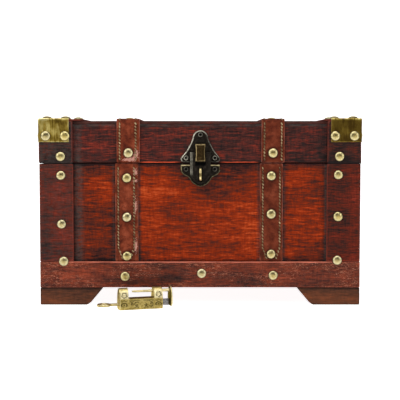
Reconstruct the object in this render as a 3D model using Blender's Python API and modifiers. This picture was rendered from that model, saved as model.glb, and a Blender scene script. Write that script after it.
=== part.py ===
"""A small wooden trunk with leather straps, brass corners, a hasp and its own padlock.

Metres, +Z up. The trunk stands on Z = 0 with its front towards -Y. The padlock stands on the same floor in
front of it, taken off and half drawn, with its key in. The origin is under the middle of the two together.
Places in the functions below are in the trunk's own frame, whose origin is under the middle of the case.
"""

import math

import bmesh
import bpy
from mathutils import Euler, Matrix, Vector

# Gap between pieces that touch
FIT = 0.0003

# Case
CASE_WIDTH = 0.300
CASE_DEPTH = 0.200
CASE_HEIGHT = 0.1164
FOOT_HEIGHT = 0.0161
WALL = 0.009
BOTTOM_BOARD = 0.006
BOTTOM_RAISE = 0.001
TRIM = 0.0027
RAIL_HEIGHT = 0.0243
POST_WIDTH = 0.0315
ARRIS = 0.0004

# Lid
LID_HEIGHT = 0.0389
LID_OVERHANG = 0.0005
PARTING = 0.0008
TRIM_SETBACK = 0.00035
TOP_BOARD = 0.0028
BATTEN_WIDTH = 0.0385
BATTEN_THICKNESS = 0.0013
BATTEN_NOSE = 0.005

# Feet
FOOT_SPREAD_LOW = 0.0440
FOOT_SPREAD_HIGH = 0.0590
FOOT_NICK = 0.0024
FOOT_NICK_RUN = 0.0035
FOOT_ARM = 0.014

# Straps
STRAP_WIDTH = 0.0216
STRAP_THICKNESS = 0.0020
STRAP_SPACING = 0.1352
STRAP_BEND = 0.0005

# Hand-set pieces sit a little off their nominal places
LEFT_BATTEN_WANDER = 0.0035
RIGHT_BATTEN_WANDER = -0.0035
LID_STRAP_WANDER = 0.0006
CASE_STRAP_WANDER = -0.0009

# Corner plates and their tacks
PLATE = 0.0006
PLATE_REACH = 0.0290
PLATE_DROP = 0.0222
TACK_RADIUS = 0.0045
TACK_HEIGHT = 0.0020
TACK_INSET = 0.0060
SIDE_TACK_BACK = 0.0050
TACK_SINK = 0.0002
TACK_SEGMENTS = 10
TACK_RINGS = 6

# Hinges
LID_HINGE_INSET = 0.0005
HINGE_WIDTH = 0.024
HINGE_LEAF = 0.0008
HINGE_DROP = 0.016
HINGE_PIN_RADIUS = 0.0009
PIN_PLAY = 0.00025
PIN_END = 0.0006
ROUND_STEPS = 16

# Hasp
HASP_SHIFT = 0.0004
HASP_PLATE = 0.0010
HASP_HALF_WIDTH = 0.0184
BELL_CROWN_RADIUS = 0.0073
BELL_HEIGHT = 0.0298
BELL_SHOULDER = 0.0030
BELL_FLARE = 0.0010
SHIELD_HEIGHT = 0.0205
SHIELD_SIDE = 0.0068
SHIELD_ROUND = 0.0030
SHIELD_TIP_HALF_WIDTH = 0.0079
SHIELD_SETBACK = 0.0012
FLAP_PIN_RISE = 0.0083
FLAP_KNUCKLE_RADIUS = 0.0016
FLAP_PIN_RADIUS = 0.0007
FLAP_HALF_WIDTH = 0.0096
FLAP_PLATE = 0.0010
FLAP_AHEAD = 0.0004
FLAP_LENGTH = 0.0285
FLAP_TAPER = 0.0080
BRIDGE_WIDTH = 0.0098
BRIDGE_RISE = 0.0094
BRIDGE_COVER = 0.0004
BRIDGE_RUN = 0.0012
WINDOW_PLAY = 0.0005
STAPLE_WIDTH = 0.0030
STAPLE_BAR = 0.0022
STAPLE_HEIGHT = 0.0117
STAPLE_EYE = 0.0049
STAPLE_TOP = 0.0133
STAPLE_ROUND = 0.0030
STAPLE_ROOT = 0.0050
SLOT_PLAY = 0.0004
SLOT_LOW_PLAY = 0.0011

# Hasp screws
SCREW_HEAD_RADIUS = 0.0023
SCREW_HEAD_HEIGHT = 0.0011
SCREW_SHANK_RADIUS = 0.0010
SCREW_LENGTH = 0.0070
SCREW_SPREAD = 0.0134
BELL_SCREW_RISE = 0.0040
BELL_SCREW_DROP = 0.0044
SHIELD_SCREW_DROP = 0.0041

# Padlock
PADLOCK_AHEAD = 0.0230
PADLOCK_ASIDE = 0.0550
PADLOCK_TURN = 17
PADLOCK_LENGTH = 0.0405
PADLOCK_DEPTH = 0.012
LOCK_BASE_ROUND = 0.0025
LOCK_TOP_ROUND = 0.0052
BEAM_HEIGHT = 0.0104
EAR_HEIGHT = 0.0200
EAR_WIDTH = 0.0083
ROD_HEIGHT = 0.0164
ROD_TIP_RADIUS = 0.0007
ROD_ROOT_RADIUS = 0.0014
ROD_PLAY = 0.0003
ROD_ENTRY = 0.0030
BOLT_DRAWN = 0.0072
END_PLATE = 0.0018
END_PLATE_LOW = 0.0019
SOCKET_DEPTH = 0.0060
CHANNEL_FLOOR = 0.0020
CHANNEL_ROOF = 0.0014
CHANNEL_WIDTH = 0.0080
LEFT_WALL = 0.0040
STEM_PLAY = 0.0005
STEM_THICKNESS = 0.0014
SPRING_SPREAD = 0.0058
SPRING_LENGTH = 0.0140
STEM_LENGTH = 0.0240
KEY_THICKNESS = 0.0022
KEY_HEIGHT = 0.0050
KEY_BLADE_WIDTH = 0.0050
KEY_BLADE_LENGTH = 0.0080
KEY_BOW_RADIUS = 0.0066
KEY_BOW_HOLE = 0.0032
KEY_NECK = 0.0068
KEY_NECK_HALF_WIDTH = 0.0017
KEY_PLAY = 0.0004

# Outer faces and levels, worked out from the sizes above
HALF_WIDTH = CASE_WIDTH / 2
HALF_DEPTH = CASE_DEPTH / 2
PANEL_X = HALF_WIDTH - TRIM - FIT
PANEL_Y = HALF_DEPTH - TRIM - FIT
LID_HALF_WIDTH = HALF_WIDTH + LID_OVERHANG
LID_PANEL_X = LID_HALF_WIDTH - TRIM - FIT
CASE_LOW = FOOT_HEIGHT + FIT
RAIL_TOP = CASE_LOW + RAIL_HEIGHT
RIM = CASE_LOW + CASE_HEIGHT
LID_LOW = RIM + PARTING
LID_TOP = LID_LOW + LID_HEIGHT
BATTEN_TOP = LID_TOP + FIT + BATTEN_THICKNESS
PLATE_TOP = BATTEN_TOP + FIT + PLATE
PLATE_X = LID_HALF_WIDTH + FIT + PLATE
PLATE_Y = HALF_DEPTH + FIT + PLATE
STRAP_FACE = PANEL_Y + FIT + STRAP_THICKNESS
HINGE_Y = HALF_DEPTH - LID_HINGE_INSET
HINGE_Z = RIM + PARTING / 2
KNUCKLE_RADIUS = HINGE_Y - PANEL_Y - FIT
HINGE_X = (STRAP_SPACING / 2 + STRAP_WIDTH / 2 + HALF_WIDTH - POST_WIDTH) / 2
PLATE_FACE = PANEL_Y + FIT + HASP_PLATE
FLAP_PIN_Y = -(PLATE_FACE + FIT + FLAP_KNUCKLE_RADIUS)
FLAP_PIN_Z = LID_LOW + FLAP_PIN_RISE
FLAP_FACE = -FLAP_PIN_Y + FLAP_AHEAD + FLAP_PLATE / 2
STAPLE_REACH = FLAP_FACE + STAPLE_EYE + STAPLE_BAR
SHIELD_TOP = RIM - SHIELD_SETBACK
PADLOCK_Y = -HALF_DEPTH - PADLOCK_AHEAD
KEY_REACH = PADLOCK_LENGTH / 2 + KEY_NECK + KEY_BOW_RADIUS
FRONT_REACH = -PADLOCK_Y + KEY_REACH * math.sin(math.radians(PADLOCK_TURN)) + KEY_BOW_RADIUS
BACK_REACH = PLATE_Y + TACK_HEIGHT
TRUNK_Y = (FRONT_REACH - BACK_REACH) / 2

# Rotations that stand a flat outline up: seen from the front, and seen from the right
FLAT = Euler((0, 0, 0))
FROM_FRONT = Euler((math.pi / 2, 0, 0))
FROM_RIGHT = Euler((math.pi / 2, 0, math.pi / 2))

COLOURS = {
    "panel_wood": ((0.33, 0.07, 0.035), 0.45, 0.0),
    "trim_wood": ((0.14, 0.045, 0.03), 0.5, 0.0),
    "foot_wood": ((0.07, 0.028, 0.018), 0.5, 0.0),
    "leather": ((0.26, 0.06, 0.028), 0.55, 0.0),
    "brass": ((0.62, 0.46, 0.17), 0.35, 1.0),
    "old_bronze": ((0.10, 0.075, 0.05), 0.42, 1.0),
    "lock_brass": ((0.55, 0.38, 0.14), 0.38, 1.0),
    "steel": ((0.45, 0.45, 0.46), 0.4, 1.0),
}


# Helpers

def clear_scene():
    """Empty the scene."""
    for obj in list(bpy.data.objects):
        bpy.data.objects.remove(obj, do_unlink=True)


def collection(name):
    """A collection of the scene."""
    made = bpy.data.collections.new(name)
    bpy.context.scene.collection.children.link(made)
    return made


def finish(name):
    """A material of this name: one Principled shader with the colour, roughness and metallic value above."""
    if name in bpy.data.materials:
        return bpy.data.materials[name]
    colour, roughness, metallic = COLOURS[name]
    material = bpy.data.materials.new(name)
    material.use_nodes = True
    shader = material.node_tree.nodes["Principled BSDF"]
    shader.inputs["Base Color"].default_value = (*colour, 1.0)
    shader.inputs["Roughness"].default_value = roughness
    shader.inputs["Metallic"].default_value = metallic
    return material


def axis_empty(name, place, under=None):
    """An empty at a place in the trunk's frame. Pieces under it move about it."""
    empty = bpy.data.objects.new(name, None)
    empty.empty_display_size = 0.01
    parts.objects.link(empty)
    frames[empty.name] = Vector(place)
    if under:
        empty.parent = under
        empty.location = Vector(place) - frames[under.name]
    else:
        empty.location = place
    return empty


def put(name, mesh, material, under):
    """An object of this mesh, whose points are in the trunk's frame, hung under an empty."""
    obj = bpy.data.objects.new(name, mesh)
    parts.objects.link(obj)
    mesh.transform(Matrix.Translation(-frames[under.name]))
    obj.parent = under
    mesh.materials.append(finish(material))
    return obj


def helper(name, mesh, under):
    """A cutter, or a shape that is joined to another: seen as wires, and never a piece itself."""
    obj = bpy.data.objects.new(name, mesh)
    cutters.objects.link(obj)
    mesh.transform(Matrix.Translation(-frames[under.name]))
    obj.parent = under
    obj.hide_render = True
    obj.display_type = "WIRE"
    return obj


def combine(obj, mesh, operation):
    """Cut a mesh from the object (DIFFERENCE) or join it to the object (UNION)."""
    modifier = obj.modifiers.new(operation.lower(), "BOOLEAN")
    modifier.operation = operation
    modifier.object = helper(f"{obj.name}_{operation.lower()}", mesh, obj.parent)


def cut(obj, mesh):
    combine(obj, mesh, "DIFFERENCE")


def join(obj, mesh):
    combine(obj, mesh, "UNION")


def ease_edges(obj, width=ARRIS, segments=1, angle=40):
    """A small bevel on the sharp edges."""
    bevel = obj.modifiers.new("eased_edges", "BEVEL")
    bevel.width = width
    bevel.segments = segments
    bevel.limit_method = "ANGLE"
    bevel.angle_limit = math.radians(angle)


def box_mesh(low, high):
    """A box between two corners."""
    mesh = bpy.data.meshes.new("box")
    bm = bmesh.new()
    bmesh.ops.create_cube(bm, size=1.0)
    bmesh.ops.scale(bm, vec=Vector(high) - Vector(low), verts=bm.verts)
    bmesh.ops.translate(bm, vec=(Vector(high) + Vector(low)) / 2, verts=bm.verts)
    bm.to_mesh(mesh)
    bm.free()
    return mesh


def prism_mesh(outline, thickness, place, turn):
    """A flat outline with its thickness either side of its plane, stood up by turn and moved to place."""
    curve = bpy.data.curves.new("outline", "CURVE")
    curve.dimensions = "2D"
    curve.fill_mode = "BOTH"
    curve.extrude = thickness / 2
    spline = curve.splines.new("POLY")
    spline.points.add(len(outline) - 1)
    for point, (x, y) in zip(spline.points, outline):
        point.co = (x, y, 0, 1)
    spline.use_cyclic_u = True
    guide = bpy.data.objects.new("outline", curve)
    cutters.objects.link(guide)
    bpy.context.view_layer.update()
    solid = guide.evaluated_get(bpy.context.evaluated_depsgraph_get())
    mesh = bpy.data.meshes.new_from_object(solid)
    bpy.data.objects.remove(guide, do_unlink=True)
    bm = bmesh.new()
    bm.from_mesh(mesh)
    bmesh.ops.remove_doubles(bm, verts=bm.verts, dist=1e-6)
    bmesh.ops.recalc_face_normals(bm, faces=bm.faces)
    bm.to_mesh(mesh)
    bm.free()
    mesh.transform(Matrix.Translation(place) @ turn.to_matrix().to_4x4())
    return mesh


def rod_mesh(start, end, radius, end_radius=None, steps=ROUND_STEPS):
    """A round bar, or a taper, from start to end."""
    start, end = Vector(start), Vector(end)
    along = end - start
    mesh = bpy.data.meshes.new("rod")
    bm = bmesh.new()
    bmesh.ops.create_cone(
        bm,
        cap_ends=True,
        segments=steps,
        radius1=radius,
        radius2=radius if end_radius is None else end_radius,
        depth=along.length,
        matrix=Matrix.Translation((start + end) / 2) @ along.to_track_quat("Z", "Y").to_matrix().to_4x4(),
    )
    bm.to_mesh(mesh)
    bm.free()
    return mesh


def arc(centre, radius, start, end, steps):
    """Points on a circle from one angle to another, in degrees, both ends included."""
    angles = [math.radians(start + (end - start) * i / steps) for i in range(steps + 1)]
    return [(centre[0] + radius * math.cos(a), centre[1] + radius * math.sin(a)) for a in angles]


def mirrored(half):
    """A whole outline from its right half, which runs from the top middle to the bottom middle."""
    return half + [(-x, y) for x, y in reversed(half) if x > FIT]


# Case

def build_case(trunk):
    """Bottom, four panels, rails, corner posts and feet."""
    board("bottom_board", trunk, "panel_wood",
          (-PANEL_X + WALL + FIT, -PANEL_Y + WALL + FIT, CASE_LOW + BOTTOM_RAISE),
          (PANEL_X - WALL - FIT, PANEL_Y - WALL - FIT, CASE_LOW + BOTTOM_RAISE + BOTTOM_BOARD))
    panels = {}
    for side, y in (("front", -1), ("back", 1)):
        outer, inner = sorted((y * PANEL_Y, y * (PANEL_Y - WALL)))
        panels[side] = board(f"{side}_panel", trunk, "panel_wood",
                             (-PANEL_X, outer, CASE_LOW), (PANEL_X, inner, RIM))
        outer, inner = sorted((y * HALF_DEPTH, y * (HALF_DEPTH - TRIM)))
        board(f"{side}_rail", trunk, "trim_wood",
              (-HALF_WIDTH, outer, CASE_LOW), (HALF_WIDTH, inner, RAIL_TOP))
    for side, x in (("left", -1), ("right", 1)):
        reach = PANEL_Y - WALL - FIT
        outer, inner = sorted((x * PANEL_X, x * (PANEL_X - WALL)))
        board(f"{side}_panel", trunk, "panel_wood", (outer, -reach, CASE_LOW), (inner, reach, RIM))
        outer, inner = sorted((x * HALF_WIDTH, x * (HALF_WIDTH - TRIM)))
        board(f"{side}_rail", trunk, "trim_wood", (outer, -PANEL_Y, CASE_LOW), (inner, PANEL_Y, RAIL_TOP))
    for name, x, y in corners():
        corner_strip(f"corner_post_{name}", trunk, x, y, HALF_WIDTH, RAIL_TOP + FIT, RIM - TRIM_SETBACK)
        foot(f"foot_{name}", trunk, x, y)
    return panels


def corners():
    """The four corners: name, side in X and side in Y."""
    return [(f"{depth}_{side}", x, y)
            for depth, y in (("front", -1), ("back", 1)) for side, x in (("left", -1), ("right", 1))]


def board(name, under, material, low, high):
    """A board with eased edges."""
    obj = put(name, box_mesh(low, high), material, under)
    ease_edges(obj)
    return obj


def corner_strip(name, under, x, y, half_width, low, high):
    """An upright strip with two wings that wraps a corner."""
    wing_x, wing_y = half_width - POST_WIDTH, HALF_DEPTH - POST_WIDTH
    outline = [
        (half_width, HALF_DEPTH), (wing_x, HALF_DEPTH), (wing_x, HALF_DEPTH - TRIM),
        (half_width - TRIM, HALF_DEPTH - TRIM), (half_width - TRIM, wing_y), (half_width, wing_y),
    ]
    outline = [(x * px, y * py) for px, py in outline]
    mesh = prism_mesh(outline, high - low, (0, 0, (low + high) / 2), FLAT)
    ease_edges(put(name, mesh, "trim_wood", under))


def foot(name, under, x, y):
    """A bracket foot: two arms that meet at the corner, each nicked at its toe and sloped up to the rail."""
    def arm(half_length):
        return [
            (half_length, 0),
            (half_length - FOOT_SPREAD_LOW, 0),
            (half_length - FOOT_SPREAD_LOW - FOOT_NICK_RUN, FOOT_NICK),
            (half_length - FOOT_SPREAD_HIGH, FOOT_HEIGHT),
            (half_length, FOOT_HEIGHT),
        ]
    front = prism_mesh([(x * px, pz) for px, pz in arm(HALF_WIDTH)], FOOT_ARM,
                       (0, y * (HALF_DEPTH - FOOT_ARM / 2), 0), FROM_FRONT)
    side = prism_mesh([(y * py, pz) for py, pz in arm(HALF_DEPTH)], FOOT_ARM,
                      (x * (HALF_WIDTH - FOOT_ARM / 2), 0, 0), FROM_RIGHT)
    obj = put(name, front, "foot_wood", under)
    join(obj, side)


# Straps

def build_case_straps(trunk):
    """Flat leather straps on the front and back panels, from the rail to the rim."""
    for side, x in (("left", -1), ("right", 1)):
        for depth, y in (("front", -1), ("back", 1)):
            middle = x * STRAP_SPACING / 2 + CASE_STRAP_WANDER
            outer, inner = sorted((y * STRAP_FACE, y * (STRAP_FACE - STRAP_THICKNESS)))
            strap = put(f"case_strap_{depth}_{side}",
                        box_mesh((middle - STRAP_WIDTH / 2, outer, RAIL_TOP + FIT),
                                 (middle + STRAP_WIDTH / 2, inner, RIM)), "leather", trunk)
            ease_edges(strap)


def build_lid_straps(lid):
    """Leather straps from the lid's front edge over its top to its back edge, bent close round both edges."""
    inner_y, inner_z = PANEL_Y + FIT, LID_TOP + FIT
    tight, wide = STRAP_BEND, STRAP_BEND + STRAP_THICKNESS
    centre_y, centre_z = inner_y - tight, inner_z - tight
    right_half = (
        arc((centre_y, centre_z), wide, 90, 0, 4)
        + [(inner_y + STRAP_THICKNESS, LID_LOW), (inner_y, LID_LOW)]
        + arc((centre_y, centre_z), tight, 0, 90, 2)
    )
    outline = right_half + [(-y, z) for y, z in reversed(right_half)]
    for side, x in (("left", -1), ("right", 1)):
        middle = x * STRAP_SPACING / 2 + LID_STRAP_WANDER
        mesh = prism_mesh(outline, STRAP_WIDTH, (middle, 0, 0), FROM_RIGHT)
        put(f"lid_strap_{side}", mesh, "leather", lid)


# Lid

def build_lid(lid):
    """Four edge boards, the top board, corner strips and the two battens on top."""
    under_top = LID_TOP - TOP_BOARD - FIT
    boards = {}
    for side, y in (("front", -1), ("back", 1)):
        outer, inner = sorted((y * PANEL_Y, y * (PANEL_Y - WALL)))
        boards[side] = board(f"lid_{side}_board", lid, "panel_wood",
                             (-LID_PANEL_X, outer, LID_LOW), (LID_PANEL_X, inner, under_top))
    for side, x in (("left", -1), ("right", 1)):
        reach = PANEL_Y - WALL - FIT
        outer, inner = sorted((x * LID_PANEL_X, x * (LID_PANEL_X - WALL)))
        board(f"lid_{side}_board", lid, "panel_wood", (outer, -reach, LID_LOW), (inner, reach, under_top))
    board("lid_top_board", lid, "panel_wood",
          (-LID_PANEL_X, -PANEL_Y, LID_TOP - TOP_BOARD), (LID_PANEL_X, PANEL_Y, LID_TOP))
    for name, x, y in corners():
        corner_strip(f"lid_corner_strip_{name}", lid, x, y, LID_HALF_WIDTH, LID_LOW + TRIM_SETBACK, LID_TOP)
        corner_plate(f"corner_plate_{name}", lid, x, y)
    top_batten("top_batten_left", lid, -1, BATTEN_WIDTH + LEFT_BATTEN_WANDER)
    top_batten("top_batten_right", lid, 1, BATTEN_WIDTH + RIGHT_BATTEN_WANDER)
    return boards


def top_batten(name, lid, x, width):
    """A flat strip along one side of the lid's top, with its two inner corners rounded."""
    outer, inner, nose = LID_HALF_WIDTH, LID_HALF_WIDTH - width, BATTEN_NOSE
    outline = (
        [(outer, -HALF_DEPTH), (outer, HALF_DEPTH)]
        + arc((inner + nose, HALF_DEPTH - nose), nose, 90, 180, 4)
        + arc((inner + nose, nose - HALF_DEPTH), nose, 180, 270, 4)
    )
    mesh = prism_mesh([(x * px, py) for px, py in outline], BATTEN_THICKNESS,
                      (0, 0, BATTEN_TOP - BATTEN_THICKNESS / 2), FLAT)
    put(name, mesh, "trim_wood", lid)


def corner_plate(name, lid, x, y):
    """A three-sided brass plate on a top corner of the lid, with the two tacks of each side."""
    mesh = bpy.data.meshes.new(name)
    bm = bmesh.new()
    bmesh.ops.create_cube(bm, size=1.0)
    bmesh.ops.scale(bm, vec=(PLATE_REACH, PLATE_REACH, PLATE_DROP), verts=bm.verts)
    middle = Vector((x * (PLATE_X - PLATE_REACH / 2), y * (PLATE_Y - PLATE_REACH / 2),
                     PLATE_TOP - PLATE_DROP / 2))
    inward = (Vector((-x, 0, 0)), Vector((0, -y, 0)), Vector((0, 0, -1)))
    bm.faces.ensure_lookup_table()
    open_sides = [face for face in bm.faces if any(face.normal.dot(way) > 0.9 for way in inward)]
    bmesh.ops.delete(bm, geom=open_sides, context="FACES")
    bmesh.ops.translate(bm, vec=middle, verts=bm.verts)
    bm.to_mesh(mesh)
    bm.free()
    plate = put(name, mesh, "brass", lid)
    sheet = plate.modifiers.new("sheet", "SOLIDIFY")
    sheet.thickness = PLATE
    sheet.offset = -1
    sheet.use_even_offset = True
    join(plate, plate_tacks(x, y))


def plate_tacks(x, y):
    """The six domes of a corner plate: two low on its front, two low on its side, two on its top. The first one on
    the side sits further back, where the photo's outline doesn't show it."""
    near, far = TACK_INSET, PLATE_REACH - TACK_INSET
    low = PLATE_TOP - PLATE_DROP + TACK_INSET
    bm = bmesh.new()
    for along, back in ((near, near + SIDE_TACK_BACK), (far, far)):
        dome(bm, (x * (PLATE_X - along), y * PLATE_Y, low), (0, y, 0))
        dome(bm, (x * PLATE_X, y * (PLATE_Y - back), low), (x, 0, 0))
        dome(bm, (x * (PLATE_X - along), y * (PLATE_Y - near), PLATE_TOP), (0, 0, 1))
    mesh = bpy.data.meshes.new("tacks")
    bm.to_mesh(mesh)
    bm.free()
    return mesh


def dome(bm, place, way):
    """A low domed head on a face, sunk a little into it. A squashed ball is cut at its widest."""
    turn = Vector(way).to_track_quat("Z", "Y").to_matrix().to_4x4()
    height = TACK_HEIGHT + TACK_SINK
    ball = bmesh.new()
    bmesh.ops.create_uvsphere(ball, u_segments=TACK_SEGMENTS, v_segments=TACK_RINGS, radius=TACK_RADIUS)
    bmesh.ops.scale(ball, vec=(1, 1, height / TACK_RADIUS), verts=ball.verts)
    sliced = bmesh.ops.bisect_plane(
        ball, geom=ball.verts[:] + ball.edges[:] + ball.faces[:],
        plane_co=(0, 0, 0), plane_no=(0, 0, 1), clear_inner=True)
    rim = [item for item in sliced["geom_cut"] if isinstance(item, bmesh.types.BMEdge)]
    bmesh.ops.contextual_create(ball, geom=rim)
    bmesh.ops.recalc_face_normals(ball, faces=ball.faces)
    seat = Vector(place) - TACK_SINK * Vector(way)
    bmesh.ops.transform(ball, matrix=Matrix.Translation(seat) @ turn, verts=ball.verts)
    piece = bpy.data.meshes.new("dome")
    ball.to_mesh(piece)
    ball.free()
    bm.from_mesh(piece)
    bpy.data.meshes.remove(piece)


# Hinges

def build_hinges(trunk, lid):
    """Two butt hinges on the back: the case leaf has the outer knuckles, the lid leaf the middle one."""
    third = HINGE_WIDTH / 3
    for side, x in (("left", -1), ("right", 1)):
        middle = x * HINGE_X
        low, high = middle - HINGE_WIDTH / 2, middle + HINGE_WIDTH / 2
        case_leaf = hinge_leaf(f"hinge_case_leaf_{side}", trunk, low, high, -1,
                               [(low, low + third - FIT), (high - third + FIT, high)])
        lid_leaf = hinge_leaf(f"hinge_lid_leaf_{side}", lid, low, high, 1, [(low + third, high - third)])
        for leaf in (case_leaf, lid_leaf):
            cut(leaf, rod_mesh((low - WALL, HINGE_Y, HINGE_Z), (high + WALL, HINGE_Y, HINGE_Z),
                               HINGE_PIN_RADIUS + PIN_PLAY))
        pin_low, pin_high = low - PIN_END, high + PIN_END
        pin = rod_mesh((pin_low, HINGE_Y, HINGE_Z), (pin_high, HINGE_Y, HINGE_Z), HINGE_PIN_RADIUS)
        put(f"hinge_pin_{side}", pin, "brass", trunk)


def hinge_leaf(name, under, low, high, up, knuckles):
    """A leaf against the back, below (up -1) or above (up 1) the pin, with its knuckles round the pin."""
    near = PANEL_Y + FIT
    clear = KNUCKLE_RADIUS + FIT
    ends = sorted((HINGE_Z + up * clear, HINGE_Z + up * HINGE_DROP))
    leaf = put(name, box_mesh((low, near, ends[0]), (high, near + HINGE_LEAF, ends[1])), "brass", under)
    front = math.degrees(math.acos((near + HINGE_LEAF - HINGE_Y) / KNUCKLE_RADIUS))
    ring = arc((0, 0), KNUCKLE_RADIUS, -up * 180, up * front, ROUND_STEPS)
    foot_of_knuckle = up * (clear + HINGE_LEAF)
    outline = ring + [(near + HINGE_LEAF - HINGE_Y, foot_of_knuckle), (near - HINGE_Y, foot_of_knuckle)]
    for start, end in knuckles:
        join(leaf, prism_mesh(outline, end - start, ((start + end) / 2, HINGE_Y, HINGE_Z), FROM_RIGHT))
    return leaf


# Hasp

def build_hasp(trunk, lid, flap, front_panel, lid_front_board):
    """Bell plate with its bridge, pin and flap on the lid; shield plate and staple on the case; screws."""
    bell_mesh = prism_mesh(bell_outline(), HASP_PLATE, hasp_place(LID_LOW + FIT), FROM_FRONT)
    bell = put("hasp_upper_plate", bell_mesh, "old_bronze", lid)
    join(bell, bridge())
    shield_mesh = prism_mesh(shield_outline(), HASP_PLATE, hasp_place(SHIELD_TOP), FROM_FRONT)
    shield = put("hasp_lower_plate", shield_mesh, "old_bronze", trunk)
    hung_flap(flap)
    left, right = HASP_SHIFT - FLAP_HALF_WIDTH, HASP_SHIFT + FLAP_HALF_WIDTH
    axis_y, axis_z = FLAP_PIN_Y, FLAP_PIN_Z
    pin = rod_mesh((left - PIN_END, axis_y, axis_z), (right + PIN_END, axis_y, axis_z), FLAP_PIN_RADIUS)
    put("hasp_pin", pin, "old_bronze", lid)
    cut(bell, rod_mesh((left, axis_y, axis_z), (right, axis_y, axis_z), FLAP_PIN_RADIUS + PIN_PLAY))
    crown = LID_LOW + FIT + BELL_HEIGHT
    hasp_screw("hasp_screw_top", lid, 0, crown - BELL_SCREW_RISE, (bell, lid_front_board))
    for side, x in (("left", -1), ("right", 1)):
        hasp_screw(f"hasp_screw_upper_{side}", lid, x * SCREW_SPREAD, LID_LOW + BELL_SCREW_DROP,
                   (bell, lid_front_board))
        hasp_screw(f"hasp_screw_lower_{side}", trunk, x * SCREW_SPREAD, SHIELD_TOP - SHIELD_SCREW_DROP,
                   (shield, front_panel))
    staple(trunk, (shield, front_panel))


def hasp_place(z):
    """The middle of a hasp plate's thickness, on the front, at a height."""
    return (HASP_SHIFT, -(PANEL_Y + FIT + HASP_PLATE / 2), z)


def bell_outline():
    """Round crown, sides that flare out straight to the shoulders, rounded lower corners, flat base at 0."""
    crown_z = BELL_HEIGHT - BELL_CROWN_RADIUS
    shoulder_x = HASP_HALF_WIDTH - BELL_SHOULDER
    half = (
        arc((0, crown_z), BELL_CROWN_RADIUS, 90, 0, 6)
        + [(BELL_CROWN_RADIUS + BELL_FLARE, crown_z - BELL_SHOULDER)]
        + arc((shoulder_x, BELL_SHOULDER), BELL_SHOULDER, 30, -90, 5)
    )
    return mirrored(half)


def rounded_point(half_width, high, low):
    """The right half of a rounded end: a quarter of an ellipse from its side down to its lowest point."""
    return [(x, high + z * (high - low) / half_width) for x, z in arc((0, 0), half_width, 0, -90, 3)]


def shield_outline():
    """Flat top at 0, straight sides, a step in on each side with a round and a hollow, then a rounded end."""
    step_z = -SHIELD_SIDE - SHIELD_ROUND
    half = [(0, 0), (HASP_HALF_WIDTH, 0), (HASP_HALF_WIDTH, -SHIELD_SIDE)]
    half += arc((HASP_HALF_WIDTH - SHIELD_ROUND, -SHIELD_SIDE), SHIELD_ROUND, -30, -75, 3)
    half += arc((SHIELD_TIP_HALF_WIDTH + SHIELD_ROUND, step_z - SHIELD_ROUND), SHIELD_ROUND, 105, 150, 2)
    half += rounded_point(SHIELD_TIP_HALF_WIDTH, step_z - SHIELD_ROUND, -SHIELD_HEIGHT)
    return mirrored(half)


def bridge():
    """The raised strap down the middle of the bell plate, which holds the pin."""
    back = -(PLATE_FACE - HASP_PLATE / 2)
    front = FLAP_PIN_Y - FLAP_KNUCKLE_RADIUS - BRIDGE_COVER
    low, high = LID_LOW + 2 * FIT, FLAP_PIN_Z + BRIDGE_RISE
    outline = [(back, low), (back, high), (front + BRIDGE_RUN, high),
               (front, high - BRIDGE_RUN), (front, low + BRIDGE_RUN), (front + BRIDGE_RUN, low)]
    return prism_mesh(outline, BRIDGE_WIDTH, (HASP_SHIFT, 0, 0), FROM_RIGHT)


def hung_flap(flap):
    """The slotted flap: two arms beside the bridge with a knuckle each, and a plate that ends in a point."""
    half_window = BRIDGE_WIDTH / 2 + FIT
    window_drop = FLAP_PIN_Z - LID_LOW + WINDOW_PLAY
    plate_y = -(FLAP_FACE - FLAP_PLATE / 2)
    half = [(half_window, 0), (FLAP_HALF_WIDTH, 0)]
    half += rounded_point(FLAP_HALF_WIDTH, FLAP_TAPER - FLAP_LENGTH, -FLAP_LENGTH)
    outline = mirrored(half) + [(-half_window, -window_drop), (half_window, -window_drop)]
    mesh = prism_mesh(outline, FLAP_PLATE, (HASP_SHIFT, plate_y, FLAP_PIN_Z), FROM_FRONT)
    obj = put("hasp_flap", mesh, "old_bronze", flap)
    for x in (-1, 1):
        inner, outer = x * (half_window + FIT / 2), x * (FLAP_HALF_WIDTH + FIT / 2)
        join(obj, rod_mesh((HASP_SHIFT + inner, FLAP_PIN_Y, FLAP_PIN_Z),
                           (HASP_SHIFT + outer, FLAP_PIN_Y, FLAP_PIN_Z), FLAP_KNUCKLE_RADIUS))
    beyond = FLAP_HALF_WIDTH + WALL
    cut(obj, rod_mesh((HASP_SHIFT - beyond, FLAP_PIN_Y, FLAP_PIN_Z),
                      (HASP_SHIFT + beyond, FLAP_PIN_Y, FLAP_PIN_Z), FLAP_PIN_RADIUS + PIN_PLAY))
    top, low = FLAP_PIN_Z - STAPLE_TOP, FLAP_PIN_Z - STAPLE_TOP - STAPLE_HEIGHT
    slot = box_mesh((HASP_SHIFT - STAPLE_WIDTH / 2 - SLOT_PLAY, plate_y - WALL, low - SLOT_LOW_PLAY),
                    (HASP_SHIFT + STAPLE_WIDTH / 2 + SLOT_PLAY, plate_y + WALL, top + SLOT_PLAY))
    cut(obj, slot)


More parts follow.
